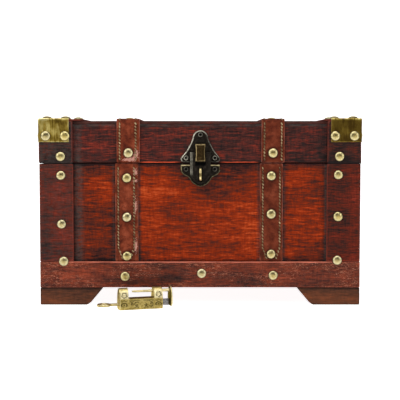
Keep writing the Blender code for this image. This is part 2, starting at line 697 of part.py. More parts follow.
def staple(trunk, held_by):
    """The loop that the flap closes over: a bent bar with two legs through the shield plate into the panel."""
    top, low = FLAP_PIN_Z - STAPLE_TOP, FLAP_PIN_Z - STAPLE_TOP - STAPLE_HEIGHT
    root, reach = -PANEL_Y + STAPLE_ROOT, -STAPLE_REACH
    inner = STAPLE_ROUND - STAPLE_BAR
    outer_y, inner_y = reach + STAPLE_ROUND, reach + STAPLE_BAR + inner
    outline = [(root, low)]
    outline += arc((outer_y, low + STAPLE_ROUND), STAPLE_ROUND, 270, 180, 4)
    outline += arc((outer_y, top - STAPLE_ROUND), STAPLE_ROUND, 180, 90, 4)
    outline += [(root, top), (root, top - STAPLE_BAR)]
    outline += arc((inner_y, top - STAPLE_BAR - inner), inner, 90, 180, 2)
    outline += arc((inner_y, low + STAPLE_BAR + inner), inner, 180, 270, 2)
    outline += [(root, low + STAPLE_BAR)]
    put("staple", prism_mesh(outline, STAPLE_WIDTH, (HASP_SHIFT, 0, 0), FROM_RIGHT), "brass", trunk)
    side = STAPLE_WIDTH / 2 + FIT
    for leg in (low, top - STAPLE_BAR):
        for obj in held_by:
            cut(obj, box_mesh((HASP_SHIFT - side, -PANEL_Y - WALL, leg - FIT),
                              (HASP_SHIFT + side, root + FIT, leg + STAPLE_BAR + FIT)))


def hasp_screw(name, under, x, z, held_by):
    """A screw with a low domed head, its shank through the plate and into the board behind."""
    flatness = SCREW_HEAD_HEIGHT / SCREW_HEAD_RADIUS
    head = [(x, z * flatness) for x, z in arc((0, 0), SCREW_HEAD_RADIUS, 90, 0, 3)]
    shoulder = SCREW_SHANK_RADIUS - SCREW_LENGTH
    profile = head + [(SCREW_SHANK_RADIUS, 0), (SCREW_SHANK_RADIUS, shoulder), (0, -SCREW_LENGTH)]
    mesh = bpy.data.meshes.new(name)
    bm = bmesh.new()
    points = [bm.verts.new((radius, 0, height)) for radius, height in profile]
    for first, second in zip(points, points[1:]):
        bm.edges.new((first, second))
    bmesh.ops.spin(bm, geom=bm.verts[:] + bm.edges[:], angle=math.tau, steps=ROUND_STEPS,
                   axis=(0, 0, 1), cent=(0, 0, 0), use_merge=True)
    bmesh.ops.remove_doubles(bm, verts=bm.verts, dist=1e-6)
    bmesh.ops.recalc_face_normals(bm, faces=bm.faces)
    bm.to_mesh(mesh)
    bm.free()
    seat = Vector((HASP_SHIFT + x, -(PLATE_FACE + FIT), z))
    mesh.transform(Matrix.Translation(seat) @ FROM_FRONT.to_matrix().to_4x4())
    put(name, mesh, "old_bronze", under)
    for obj in held_by:
        cut(obj, rod_mesh(seat + Vector((0, -WALL, 0)), seat + Vector((0, SCREW_LENGTH + FIT, 0)),
                          SCREW_SHANK_RADIUS + FIT))


# Padlock

def build_padlock(padlock, bolt, key):
    """The lock case, the bolt with its spring, and the key."""
    build_lock_case(padlock)
    build_bolt(bolt)
    build_key(key)


def lock_x(along):
    """A place along the padlock, counted from its left end, as it is before the padlock is turned."""
    return along - PADLOCK_LENGTH / 2 - PADLOCK_ASIDE


def lock_section(low):
    """The padlock seen from its end: a little rounded below, and drawn in to a narrow top."""
    side = PADLOCK_DEPTH / 2
    half = arc((side - LOCK_BASE_ROUND, low + LOCK_BASE_ROUND), LOCK_BASE_ROUND, -90, 0, 3)
    half += arc((side - LOCK_TOP_ROUND, EAR_HEIGHT - LOCK_TOP_ROUND), LOCK_TOP_ROUND, 0, 90, 5)
    return half + [(-y, z) for y, z in reversed(half)]


def build_lock_case(padlock):
    """A beam with an ear at each end, holes in the ears for the rod, the spring's channel and the key's slot."""
    left, right = lock_x(0), lock_x(PADLOCK_LENGTH)
    mesh = prism_mesh(lock_section(0), PADLOCK_LENGTH, ((left + right) / 2, PADLOCK_Y, 0), FROM_RIGHT)
    case = put("padlock_case", mesh, "lock_brass", padlock)
    cut(case, box_mesh((left + EAR_WIDTH, PADLOCK_Y - PADLOCK_DEPTH, BEAM_HEIGHT),
                       (right - EAR_WIDTH, PADLOCK_Y + PADLOCK_DEPTH, EAR_HEIGHT + WALL)))
    hole = ROD_ROOT_RADIUS + ROD_PLAY
    cut(case, rod_mesh((left + EAR_WIDTH - SOCKET_DEPTH, PADLOCK_Y, ROD_HEIGHT),
                       (right + WALL, PADLOCK_Y, ROD_HEIGHT), hole))
    cut(case, box_mesh((left + LEFT_WALL, PADLOCK_Y - CHANNEL_WIDTH / 2, CHANNEL_FLOOR),
                       (right + WALL, PADLOCK_Y + CHANNEL_WIDTH / 2, BEAM_HEIGHT - CHANNEL_ROOF)))
    side, half = KEY_BLADE_WIDTH / 2 + KEY_PLAY, KEY_THICKNESS / 2 + KEY_PLAY
    cut(case, box_mesh((left - WALL, PADLOCK_Y - side, KEY_HEIGHT - half),
                       (left + LEFT_WALL + WALL, PADLOCK_Y + side, KEY_HEIGHT + half)))


def build_bolt(bolt):
    """The end plate with the tapered rod, and the steel stem with two leaf springs that the plate carries."""
    plate_left = lock_x(PADLOCK_LENGTH) + FIT + BOLT_DRAWN
    plate_middle = plate_left + END_PLATE / 2
    mesh = prism_mesh(lock_section(END_PLATE_LOW), END_PLATE, (plate_middle, PADLOCK_Y, 0), FROM_RIGHT)
    plate = put("padlock_bolt", mesh, "lock_brass", bolt)
    tip = lock_x(EAR_WIDTH) - ROD_ENTRY + BOLT_DRAWN
    join(plate, rod_mesh((plate_middle, PADLOCK_Y, ROD_HEIGHT), (tip, PADLOCK_Y, ROD_HEIGHT),
                         ROD_ROOT_RADIUS, ROD_TIP_RADIUS))
    low, high = CHANNEL_FLOOR + STEM_PLAY, BEAM_HEIGHT - CHANNEL_ROOF - STEM_PLAY
    left = plate_left - STEM_LENGTH
    half, spread = STEM_THICKNESS / 2, SPRING_SPREAD / 2
    outline = [
        (plate_left - FIT, half), (left + STEM_THICKNESS * 2, half), (left + SPRING_LENGTH, spread),
        (left + SPRING_LENGTH, spread + half), (left, half), (left, -half),
        (left + SPRING_LENGTH, -spread - half), (left + SPRING_LENGTH, -spread),
        (left + STEM_THICKNESS * 2, -half), (plate_left - FIT, -half),
    ]
    mesh = prism_mesh(outline, high - low, (0, PADLOCK_Y, (low + high) / 2), FLAT)
    put("padlock_spring", mesh, "steel", bolt)


def build_key(key):
    """A flat key: blade through the slot, neck, and a round pierced bow."""
    tip = lock_x(LEFT_WALL + KEY_BLADE_LENGTH)
    shoulder = lock_x(0) - KEY_PLAY
    side, neck = KEY_BLADE_WIDTH / 2, KEY_NECK_HALF_WIDTH
    bow = lock_x(0) - KEY_NECK - KEY_BOW_RADIUS
    meet = math.degrees(math.asin(neck / KEY_BOW_RADIUS))
    outline = [(tip, -side), (tip, side), (shoulder, side), (shoulder - neck, neck)]
    outline += arc((bow, 0), KEY_BOW_RADIUS, meet, 360 - meet, 16)
    outline += [(shoulder - neck, -neck), (shoulder, -side)]
    mesh = prism_mesh(outline, KEY_THICKNESS, (0, PADLOCK_Y, KEY_HEIGHT), FLAT)
    obj = put("padlock_key", mesh, "lock_brass", key)
    cut(obj, rod_mesh((bow, PADLOCK_Y, KEY_HEIGHT - WALL), (bow, PADLOCK_Y, KEY_HEIGHT + WALL), KEY_BOW_HOLE))


def shade_rounds():
    """Smooth shading with sharp edges kept."""
    for obj in parts.objects:
        if obj.type == "MESH":
            obj.data.shade_smooth()
            obj.data.set_sharp_from_angle(angle=math.radians(35))


clear_scene()
parts = collection("trunk")
cutters = collection("cutters")
cutters.hide_render = True
frames = {}

trunk_base = axis_empty("trunk_base", (0, 0, 0))
lid_axis = axis_empty("lid_axis", (0, HINGE_Y, HINGE_Z), trunk_base)
flap_axis = axis_empty("flap_axis", (HASP_SHIFT, FLAP_PIN_Y, FLAP_PIN_Z), lid_axis)
padlock_base = axis_empty("padlock_base", (lock_x(PADLOCK_LENGTH / 2), PADLOCK_Y, 0), trunk_base)
bolt_axis = axis_empty("bolt_axis", (lock_x(PADLOCK_LENGTH), PADLOCK_Y, ROD_HEIGHT), padlock_base)
key_axis = axis_empty("key_axis", (lock_x(0), PADLOCK_Y, KEY_HEIGHT), padlock_base)
padlock_base.rotation_euler.z = math.radians(PADLOCK_TURN)
trunk_base.location = (0, TRUNK_Y, 0)

case_panels = build_case(trunk_base)
build_case_straps(trunk_base)
lid_boards = build_lid(lid_axis)
build_lid_straps(lid_axis)
build_hinges(trunk_base, lid_axis)
build_hasp(trunk_base, lid_axis, flap_axis, case_panels["front"], lid_boards["front"])
build_padlock(padlock_base, bolt_axis, key_axis)
shade_rounds()
bpy.context.view_layer.update()
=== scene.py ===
"""Looks of a small wooden trunk with leather straps, brass corners, a hasp and its own padlock.

Metres, +Z up, the front towards -Y. Each new piece is a skin worked out with numpy: a closed outline that is
carried along a path, or a surface of two parameters. Its place comes from the frame's own boxes, so a piece
sits where its solid is. Points carry what the finishes need: the grain's own axes, how far a point lies from
an edge, and how much of the dark glaze is rubbed away there, with painted shade and painted highlights worked
into these numbers in places.
"""

import math

import bmesh
import bpy
import numpy as np
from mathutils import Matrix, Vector


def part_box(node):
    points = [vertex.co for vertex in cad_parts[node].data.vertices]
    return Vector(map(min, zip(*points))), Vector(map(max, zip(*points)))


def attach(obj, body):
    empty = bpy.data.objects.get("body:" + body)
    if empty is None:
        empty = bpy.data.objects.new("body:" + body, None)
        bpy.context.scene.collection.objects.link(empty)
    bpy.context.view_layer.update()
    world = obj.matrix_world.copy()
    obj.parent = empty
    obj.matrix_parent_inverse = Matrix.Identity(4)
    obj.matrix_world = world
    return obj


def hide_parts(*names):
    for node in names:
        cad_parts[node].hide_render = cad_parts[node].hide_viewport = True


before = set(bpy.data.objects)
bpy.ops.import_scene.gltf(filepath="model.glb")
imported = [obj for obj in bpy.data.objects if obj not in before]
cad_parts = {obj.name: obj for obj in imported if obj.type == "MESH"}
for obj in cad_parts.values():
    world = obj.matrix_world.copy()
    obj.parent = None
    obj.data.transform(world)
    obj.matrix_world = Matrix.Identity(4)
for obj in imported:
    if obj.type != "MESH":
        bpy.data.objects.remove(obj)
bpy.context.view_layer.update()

MM = 0.001
X, Y, Z = 0, 1, 2


def node_box(node):
    """Lowest and highest corner of a solid, as arrays."""
    low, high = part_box(node)
    return np.array(low), np.array(high)


# Places taken from the frame
RAIL_LOW, RAIL_HIGH = node_box("front_rail")
FRONT = RAIL_LOW[Y]
BACK = node_box("back_rail")[1][Y]
MIDDLE_Y = (FRONT + BACK) / 2
RAIL_TOP = RAIL_HIGH[Z]
RIM = node_box("front_panel")[1][Z]
LID_BASE = node_box("lid_front_board")[0][Z]
LID_EDGE = node_box("lid_front_board")[1][Z]
HASP_X = sum(corner[X] for corner in node_box("hasp_flap")) / 2
CORNERS = ("front_left", "front_right", "back_left", "back_right")

# Sizes of what the solids don't have
ARRIS = 0.6 * MM
END_SHARE = 0.6
WOOD_SPACING = 2.2 * MM
WOOD_RELIEF = 0.10 * MM
TACK_RADIUS = 4.5 * MM
TACK_HEIGHT = 2.1 * MM
STITCH_INSETS = (2.8 * MM, 2.8 * MM)
LOOSE_INSETS = (2.8 * MM, 3.9 * MM)
STITCH_PITCH = 3.0 * MM
STITCH_LENGTH = 2.9 * MM
STITCH_RADIUS = 0.70 * MM


# Skins

def closed_skin(rings, joined=False):
    """Rings of points, one after another, joined by quads. The first and last get a face, or meet if
    joined."""
    stations, around = rings.shape[:2]
    steps = stations if joined else stations - 1
    ring = np.arange(steps)[:, None]
    onward = (ring + 1) % stations
    here, beside = np.arange(around), (np.arange(around) + 1) % around
    corners = [ring * around + here, ring * around + beside, onward * around + beside, onward * around + here]
    faces = np.stack(corners, -1).reshape(-1, 4).tolist()
    if not joined:
        faces += [list(range(around))[::-1], list(range((stations - 1) * around, stations * around))]
    return rings.reshape(-1, 3), faces


def make(name, skins, material, body, slot, replaces=(), sharp=35, paint=None):
    """One object from skins, its faces outwards, smooth but for its sharp edges. Paint gives its
    attributes."""
    faces, start = [], 0
    for points, skin_faces in skins:
        faces += [[index + start for index in face] for face in skin_faces]
        start += len(points)
    mesh = bpy.data.meshes.new(name)
    mesh.from_pydata(np.concatenate([points for points, _ in skins]), [], faces)
    shell = bmesh.new()
    shell.from_mesh(mesh)
    bmesh.ops.recalc_face_normals(shell, faces=shell.faces)
    shell.to_mesh(mesh)
    shell.free()
    mesh.shade_smooth()
    mesh.set_sharp_from_angle(angle=math.radians(sharp))
    mesh.materials.append(material)
    if paint:
        add_attributes(mesh, paint(mesh_points(mesh)))
    obj = bpy.data.objects.new(name, mesh)
    bpy.context.scene.collection.objects.link(obj)
    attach(obj, body)
    if replaces:
        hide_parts(*replaces)


def mesh_points(mesh):
    """A mesh's points as an array."""
    points = np.empty(len(mesh.vertices) * 3, np.float32)
    mesh.vertices.foreach_get("co", points)
    return points.reshape(-1, 3).astype(float)


def add_attributes(mesh, values):
    """Numbers or vectors on a mesh's points, by name."""
    for name, array in values.items():
        if array.ndim == 1:
            layer = mesh.attributes.new(name, "FLOAT", "POINT")
            layer.data.foreach_set("value", array.astype(np.float32))
        else:
            layer = mesh.attributes.new(name, "FLOAT_VECTOR", "POINT")
            layer.data.foreach_set("vector", array.astype(np.float32).ravel())


def rounded_loop(corners, radius, spacing, steps=3):
    """A closed outline. Each corner is a parabola between points one radius along its sides, and the
    straight runs between get evenly spaced points no further apart than the spacing."""
    corners = np.asarray(corners, float)
    loop = []
    for here, before, after in zip(corners, np.roll(corners, 1, 0), np.roll(corners, -1, 0)):
        start = here + (before - here) * radius / np.linalg.norm(before - here)
        end = here + (after - here) * radius / np.linalg.norm(after - here)
        t = np.linspace(0, 1, steps + 1)[:, None]
        loop.append((1 - t) ** 2 * start + 2 * t * (1 - t) * here + t ** 2 * end)
        run = after + (here - after) * radius / np.linalg.norm(here - after) - end
        pieces = max(1, int(np.ceil(np.linalg.norm(run) / spacing)))
        loop.append(end + run * (np.arange(1, pieces) / pieces)[:, None])
    return np.concatenate(loop)


def outward(loop):
    """The outward direction at each point of an anticlockwise outline, square to its neighbours' line."""
    along = np.roll(loop, -1, 0) - np.roll(loop, 1, 0)
    along /= np.linalg.norm(along, axis=1)[:, None]
    return np.stack([along[:, 1], -along[:, 0]], -1)


def anticlockwise(loop):
    """The outline with its points running anticlockwise: the shoelace sum tells which way they run."""
    x, y = loop[:, 0], loop[:, 1]
    area = np.sum(x * np.roll(y, -1) - y * np.roll(x, -1))
    return loop if area > 0 else loop[::-1]


def ripple(points, seed, lengths):
    """A gentle unevenness between -1 and 1: the mean of six sine waves in seeded directions. Lengths says
    about how long the waves are along each axis."""
    rng = np.random.default_rng(seed)
    total = np.zeros(points.shape[:-1])
    for _ in range(6):
        wave = rng.normal(size=3) * 2 * math.pi / np.asarray(lengths)
        total += np.sin(points @ wave + rng.uniform(0, 2 * math.pi))
    return total / 6


def bar(corners, axis, low, high, radius=ARRIS, spacing=WOOD_SPACING, relief=0.0, seed=0, lengths=(1, 1, 1)):
    """A rounded outline carried along one axis from low to high. Both ends are drawn in by part of a
    quarter circle, less than the corners' own radius so that no corner crosses itself, and the skin is
    moved in and out by the ripple."""
    loop = anticlockwise(rounded_loop(corners, radius, spacing))
    normal = outward(loop)
    turn = np.linspace(0, math.pi / 2, 4)[:-1]
    from_end = radius * (1 - np.cos(turn))
    drawn_in = END_SHARE * radius * (1 - np.sin(turn))
    pieces = max(1, int(np.ceil((high - low - 2 * radius) / spacing)))
    run = np.linspace(low + radius, high - radius, pieces + 1)
    place = np.concatenate([low + from_end, run, high - from_end[::-1]])
    inset = np.concatenate([drawn_in, 0 * run, drawn_in[::-1]])
    rings = np.empty((len(place), len(loop), 3))
    first, second = [other for other in (X, Y, Z) if other != axis]
    rings[..., axis] = place[:, None]
    flat = loop[None] - normal[None] * inset[:, None, None]
    rings[..., first], rings[..., second] = flat[..., 0], flat[..., 1]
    if relief:
        push = relief * ripple(rings, seed, lengths)
        rings[..., first] += normal[:, 0] * push
        rings[..., second] += normal[:, 1] * push
    return closed_skin(rings)


def rectangle(low, high):
    """The four corners of a rectangle."""
    return [(low[0], low[1]), (high[0], low[1]), (high[0], high[1]), (low[0], high[1])]


def turned(profile, centre, direction, around=28, wave=None):
    """A profile of (radius, height) turned about a direction through a centre. Wave changes the radius by
    angle."""
    direction = np.asarray(direction, float) / np.linalg.norm(direction)
    side = np.cross(direction, (0, 0, 1) if abs(direction[Z]) < 0.9 else (1, 0, 0))
    side /= np.linalg.norm(side)
    other = np.cross(direction, side)
    angle = np.linspace(0, 2 * math.pi, around, endpoint=False)
    radius, height = np.asarray(profile, float).T
    reach = np.repeat(radius[:, None], around, 1)
    if wave is not None:
        reach = reach * wave(radius[:, None], angle[None])
    rings = (np.asarray(centre, float) + height[:, None, None] * direction
             + reach[..., None] * (np.cos(angle)[:, None] * side + np.sin(angle)[:, None] * other))
    return closed_skin(rings)


def tube(path, across, out, section):
    """A section of (across, out) points carried along a path that has its own across and out directions."""
    rings = path[:, None] + section[None, :, :1] * across[:, None] + section[None, :, 1:] * out[:, None]
    return closed_skin(rings)


def smooth_step(value, low, high):
    """0 below low, 1 above high, and the cubic 3t^2 - 2t^3 between."""
    t = np.clip((value - low) / (high - low), 0, 1)
    return t * t * (3 - 2 * t)


def window(value, low, high, soft):
    """1 between two places, falling to 0 at each over a soft width."""
    return smooth_step(value, low, low + soft) * (1 - smooth_step(value, high - soft, high))


# Finishes

class Finish:
    """A material whose colour, roughness and bump come from nodes."""

    def __init__(self, name):
        self.material = bpy.data.materials.new(name)
        self.material.use_nodes = True
        self.tree = self.material.node_tree
        self.shader = self.tree.nodes["Principled BSDF"]

    def node(self, kind, inputs=None, **settings):
        made = self.tree.nodes.new(kind)
        for key, value in settings.items():
            setattr(made, key, value)
        for key, value in (inputs or {}).items():
            self.feed(made.inputs[key], value)
        return made

    def feed(self, socket, value):
        if isinstance(value, bpy.types.NodeSocket):
            self.tree.links.new(value, socket)
        elif isinstance(value, tuple) and len(value) == 3 and socket.type == "RGBA":
            socket.default_value = (*value, 1.0)
        else:
            socket.default_value = value

    def place(self):
        """Where a point is on the object."""
        return self.node("ShaderNodeTexCoord").outputs["Object"]

    def value(self, name):
        """A number that the points carry."""
        return self.node("ShaderNodeAttribute", attribute_name=name).outputs["Fac"]

    def vector(self, name):
        """A vector that the points carry."""
        return self.node("ShaderNodeAttribute", attribute_name=name).outputs["Vector"]

    def stretch(self, vector, scale, shift=(0.0, 0.0, 0.0)):
        """Coordinates made denser by a scale on each axis."""
        inputs = {"Vector": vector, "Scale": scale, "Location": shift}
        return self.node("ShaderNodeMapping", inputs).outputs[0]

    def noise(self, vector, scale=1.0, detail=4.0, rough=0.55, distortion=0.0):
        """Cloudy noise from 0 to 1."""
        inputs = {"Vector": vector, "Scale": scale, "Detail": detail, "Roughness": rough,
                  "Distortion": distortion}
        return self.node("ShaderNodeTexNoise", inputs).outputs["Fac"]

    def cells(self, vector, scale, feature="F1", randomness=1.0):
        """Distance to the nearest of scattered points, or to the border between two of them."""
        inputs = {"Vector": vector, "Scale": scale, "Randomness": randomness}
        return self.node("ShaderNodeTexVoronoi", inputs, feature=feature).outputs["Distance"]

    def math(self, operation, first, second=0.0, third=0.0):
        made = self.node("ShaderNodeMath", operation=operation)
        for socket, value in zip(made.inputs, (first, second, third)):
            self.feed(socket, value)
        return made.outputs[0]

    def fit(self, value, low, high, to_low=0.0, to_high=1.0):
        """A number taken from one range to another, with soft ends."""
        inputs = {"Value": value, "From Min": low, "From Max": high, "To Min": to_low, "To Max": to_high}
        return self.node("ShaderNodeMapRange", inputs, interpolation_type="SMOOTHSTEP").outputs[0]

    def mix(self, amount, first, second):
        """One colour over another."""
        made = self.node("ShaderNodeMix", data_type="RGBA")
        self.feed(made.inputs["Factor"], amount)
        self.feed(made.inputs[6], first)
        self.feed(made.inputs[7], second)
        return made.outputs[2]

    def ramp(self, value, stops):
        """Colours by a number: pairs of place and colour."""
        made = self.node("ShaderNodeValToRGB", {"Fac": value})
        for _ in stops[2:]:
            made.color_ramp.elements.new(0.5)
        for element, (place, colour) in zip(made.color_ramp.elements, stops):
            element.position = place
            element.color = (*colour, 1.0)
        return made.outputs["Color"]

    def bump(self, height, distance, strength=1.0, over=None):
        """A surface that follows a height in metres."""
        inputs = {"Height": height, "Distance": distance, "Strength": strength}
        if over is not None:
            inputs["Normal"] = over
        return self.node("ShaderNodeBump", inputs).outputs["Normal"]

    def done(self, colour, roughness, normal=None, **constants):
        """Wire the surface. Constants go on the shader's own sockets."""
        self.feed(self.shader.inputs["Base Color"], colour)
        self.feed(self.shader.inputs["Roughness"], roughness)
        if normal is not None:
            self.feed(self.shader.inputs["Normal"], normal)
        for name, value in constants.items():
            self.shader.inputs[name.replace("_", " ")].default_value = value
        return self.material


PORE = (0.016, 0.007, 0.006)
PORE_DEPTH = 0.5
FLAKE = (0.35, 0.128, 0.074)
DUST = (0.056, 0.045, 0.040)


def wood(name, stops, worn, streak=1.0, flaked=0.0):
    """Stained wood under a dark glaze that is rubbed thin in places. The stops run from dark to light: the
    rub level, which is the rubbed glaze with painted shade taken off it in places, and broad clouds say where
    in them a point lies, and each finer layer of noise along the grain moves it by its own gain. Pores are
    short dark dashes, dust lies grey in the corners, the stain is worn lighter along edges, and in patches
    the lacquer has flaked off in small pale dashes."""
    f = Finish(name)
    grain, edge, rub = f.vector("grain"), f.value("edge"), f.value("rub")
    wear, dust = f.value("wear"), f.value("dust")
    clouds = f.noise(f.stretch(grain, (13, 34, 34)), detail=3.0)
    waves = f.noise(f.stretch(grain, (22, 170, 170), (0.4, 0.2, 0.9)), detail=4.0, rough=0.6, distortion=0.9)
    streaks = f.noise(f.stretch(grain, (85, 640, 640)), detail=6.0, rough=0.75, distortion=0.5)
    fine = f.noise(f.stretch(grain, (170, 1700, 1700)), detail=3.0, rough=0.6)
    cross = f.noise(f.stretch(grain, (620, 110, 110)), detail=2.0)
    pores = f.fit(f.noise(f.stretch(grain, (95, 1100, 1100), (0.3, 0.1, 0.7)), detail=2.0), 0.60, 0.72)
    # The rub level is partly painted shade: the boards lower it where shade falls.
    tone = f.math("MULTIPLY_ADD", clouds, 0.75, f.math("SUBTRACT", rub, 0.375))
    for layer, gain in ((waves, 0.75), (streaks, 1.70), (fine, 0.70), (cross, 0.40)):
        tone = f.math("MULTIPLY_ADD", f.math("SUBTRACT", layer, 0.5), gain * streak, tone)
    colour = f.ramp(tone, stops)
    colour = f.mix(f.math("MULTIPLY", pores, PORE_DEPTH), colour, PORE)
    if flaked:
        dashes = f.noise(f.stretch(grain, (330, 1250, 1250)), detail=4.0, rough=0.7, distortion=1.2)
        patches = f.fit(f.noise(f.stretch(grain, (26, 60, 60), (0.6, 0.3, 0.1))), 0.42, 0.58, 0.15, 1.0)
        flakes = f.math("MULTIPLY", f.fit(dashes, 0.55, 0.61), patches)
        colour = f.mix(f.math("MULTIPLY", flakes, flaked), colour, FLAKE)
    specks = f.noise(f.stretch(grain, (240, 420, 420)), detail=4.0, rough=0.7)
    colour = f.mix(f.math("MULTIPLY", dust, f.fit(specks, 0.36, 0.62, 0.15, 1.0)), colour, DUST)
    ragged = f.noise(f.stretch(grain, (70, 330, 330)), detail=4.0)
    border = f.math("MULTIPLY_ADD", ragged, 1.9 * MM, -0.60 * MM)
    bare = f.fit(f.math("SUBTRACT", edge, border), 0.75 * MM, 0.10 * MM)
    colour = f.mix(f.math("MULTIPLY", bare, wear), colour, worn)
    sunk = f.math("MULTIPLY_ADD", fine, 0.25, f.math("MULTIPLY", pores, -0.5))
    height = f.math("MULTIPLY_ADD", streaks, 0.6, sunk)
    roughness = f.fit(streaks, 0.3, 0.7, 0.60, 0.42)
    return f.done(colour, roughness, f.bump(height, 0.16 * MM, 0.8), Specular_IOR_Level=0.02)


def leather_finish():
    """Red-brown strap leather: a fine pebble grain with creases, dark round the tacks, scuffed at its edges
    and torn to its pale inside in a few places."""
    f = Finish("strap_leather")
    place, edge, dent, torn = f.place(), f.value("edge"), f.value("dent"), f.value("torn")
    mottle = f.noise(place, 110.0, 6.0, 0.65)
    colour = f.ramp(mottle, [
        (0.34, (0.055, 0.010, 0.005)), (0.50, (0.140, 0.026, 0.0105)), (0.66, (0.240, 0.052, 0.023))])
    colour = f.mix(f.value("dark"), colour, (0.030, 0.006, 0.003))
    grain = f.cells(place, 1500.0)
    creases = f.noise(f.stretch(place, (260, 700, 700)), detail=5.0, rough=0.7)
    colour = f.mix(f.fit(creases, 0.54, 0.68, 0.0, 0.70), colour, (0.040, 0.010, 0.006))
    colour = f.mix(f.math("MULTIPLY", dent, 0.65), colour, (0.034, 0.010, 0.006))
    ragged = f.noise(f.stretch(place, (300, 120, 120)), detail=5.0)
    border = f.math("MULTIPLY_ADD", ragged, 2.6 * MM, -1.15 * MM)
    scuffed = f.fit(f.math("SUBTRACT", edge, border), 0.45 * MM, -0.1 * MM)
    colour = f.mix(f.math("MULTIPLY", scuffed, 0.55), colour, (0.30, 0.105, 0.075))
    slant = {"Vector": place, "Rotation": (0.0, math.radians(-38), 0.0)}
    slanting = f.node("ShaderNodeMapping", slant).outputs[0]
    shreds = f.noise(f.stretch(slanting, (1150, 900, 330)), detail=4.0, rough=0.7, distortion=0.8)
    bare = f.fit(f.math("MULTIPLY_ADD", torn, 0.36, shreds), 0.68, 0.78)
    colour = f.mix(f.math("MULTIPLY", bare, 0.85), colour, (0.44, 0.22, 0.17))
    height = f.math("MULTIPLY_ADD", grain, 0.5, f.math("MULTIPLY", creases, 0.8))
    roughness = f.fit(mottle, 0.3, 0.7, 0.62, 0.48)
    return f.done(colour, roughness, f.bump(height, 0.20 * MM, 0.8), Specular_IOR_Level=0.04)


def thread_finish():
    """Waxed thread, tan to olive, twisted."""
    f = Finish("waxed_thread")
    place = f.place()
    soiled = f.noise(place, 190.0, 3.0)
    colour = f.ramp(soiled, [
        (0.34, (0.060, 0.036, 0.018)), (0.50, (0.165, 0.110, 0.052)), (0.66, (0.34, 0.25, 0.135))])
    twist = f.noise(f.stretch(place, (2600, 2600, 2600)), detail=2.0)
    return f.done(colour, 0.75, f.bump(twist, 0.08 * MM, 0.6), Specular_IOR_Level=0.1)


def plate_brass():
    """Sheet brass with cloudy upright streaks of tarnish, darker where its tarnish level is high; that level
    is lowered along the top bend as a painted highlight. Its edges are rubbed."""
    f = Finish("streaked_brass")
    place, edge, tarnish_and_highlight = f.place(), f.value("edge"), f.value("tarnish_and_highlight")
    streaks = f.noise(f.stretch(place, (120, 120, 26)), detail=4.0, rough=0.55, distortion=2.4)
    clouds = f.noise(place, 95.0, 4.0)
    tone = f.math("MULTIPLY_ADD", clouds, 1.1, f.math("MULTIPLY_ADD", streaks, 1.3, -0.67))
    calm = f.math("MULTIPLY_ADD", tarnish_and_highlight, -0.60, 1.0)
    tone = f.math("MULTIPLY_ADD", f.math("SUBTRACT", tone, 0.5), calm, 0.5)
    tone = f.math("SUBTRACT", tone, f.math("MULTIPLY", tarnish_and_highlight, 0.24))
    tone = f.math("ADD", tone, f.fit(edge, 0.0, 1.0 * MM, 0.30, 0.0))
    colour = f.ramp(tone, [
        (0.22, (0.060, 0.034, 0.006)), (0.40, (0.150, 0.095, 0.015)), (0.55, (0.29, 0.20, 0.034)),
        (0.75, (0.58, 0.46, 0.14)), (0.95, (0.80, 0.70, 0.32))])
    scratches = f.noise(f.stretch(place, (1800, 1800, 90)), detail=2.0)
    roughness = f.fit(streaks, 0.3, 0.7, 0.50, 0.32)
    return f.done(colour, roughness, f.bump(scratches, 0.05 * MM, 0.5), Metallic=1.0)


def tack_brass():
    """Plated tack heads: a bright ring round a duller crown, a painted reflection, with grime at the foot.
    Gold says how yellow."""
    f = Finish("tack_brass")
    place, rim, gold = f.place(), f.value("rim"), f.value("gold")
    clouds = f.noise(place, 420.0, 4.0)
    # A painted reflection: a bright ring round a duller crown.
    crown = f.mix(gold, (0.37, 0.325, 0.205), (0.39, 0.290, 0.085))
    ring = f.mix(gold, (0.52, 0.490, 0.370), (0.54, 0.455, 0.205))
    colour = f.mix(f.fit(rim, 0.20, 0.80), crown, ring)
    colour = f.mix(f.fit(clouds, 0.40, 0.70, 0.0, 0.5), colour, (0.20, 0.16, 0.07))
    colour = f.mix(f.fit(rim, 0.84, 0.98, 0.0, 0.95), colour, (0.075, 0.052, 0.020))
    pits = f.noise(place, 1600.0, 3.0)
    return f.done(colour, f.fit(clouds, 0.3, 0.7, 0.44, 0.30), f.bump(pits, 0.06 * MM, 0.5), Metallic=1.0)


def bronze(name, dark, light):
    """Antique metal: blackened all over, bright where the rim level is high, which is rubbed wear and in
    places a painted highlight, and black where it is below 0: a painted shadow on the flap under the bridge,
    and the screws' dark hollows."""
    f = Finish(name)
    place, rim = f.place(), f.value("rim")
    clouds = f.noise(place, 300.0, 5.0, 0.65)
    # The rim level is rubbed wear and in places a painted highlight.
    worn = f.math("MULTIPLY", rim, f.fit(clouds, 0.25, 0.72, 0.45, 1.25))
    base = f.mix(f.fit(clouds, 0.45, 0.75), dark, tuple(2.6 * share for share in dark))
    colour = f.mix(f.fit(worn, 0.0, 1.0), base, light)
    # Below 0 it paints black: the painted shadow under the bridge, and the screws' dark hollows.
    colour = f.mix(f.fit(rim, -1.0, 0.0, 1.0, 0.0), colour, (0.003, 0.003, 0.003))
    grit = f.noise(place, 1500.0, 3.0)
    return f.done(colour, f.fit(worn, 0.0, 1.0, 0.52, 0.32), f.bump(grit, 0.08 * MM, 0.6), Metallic=1.0)


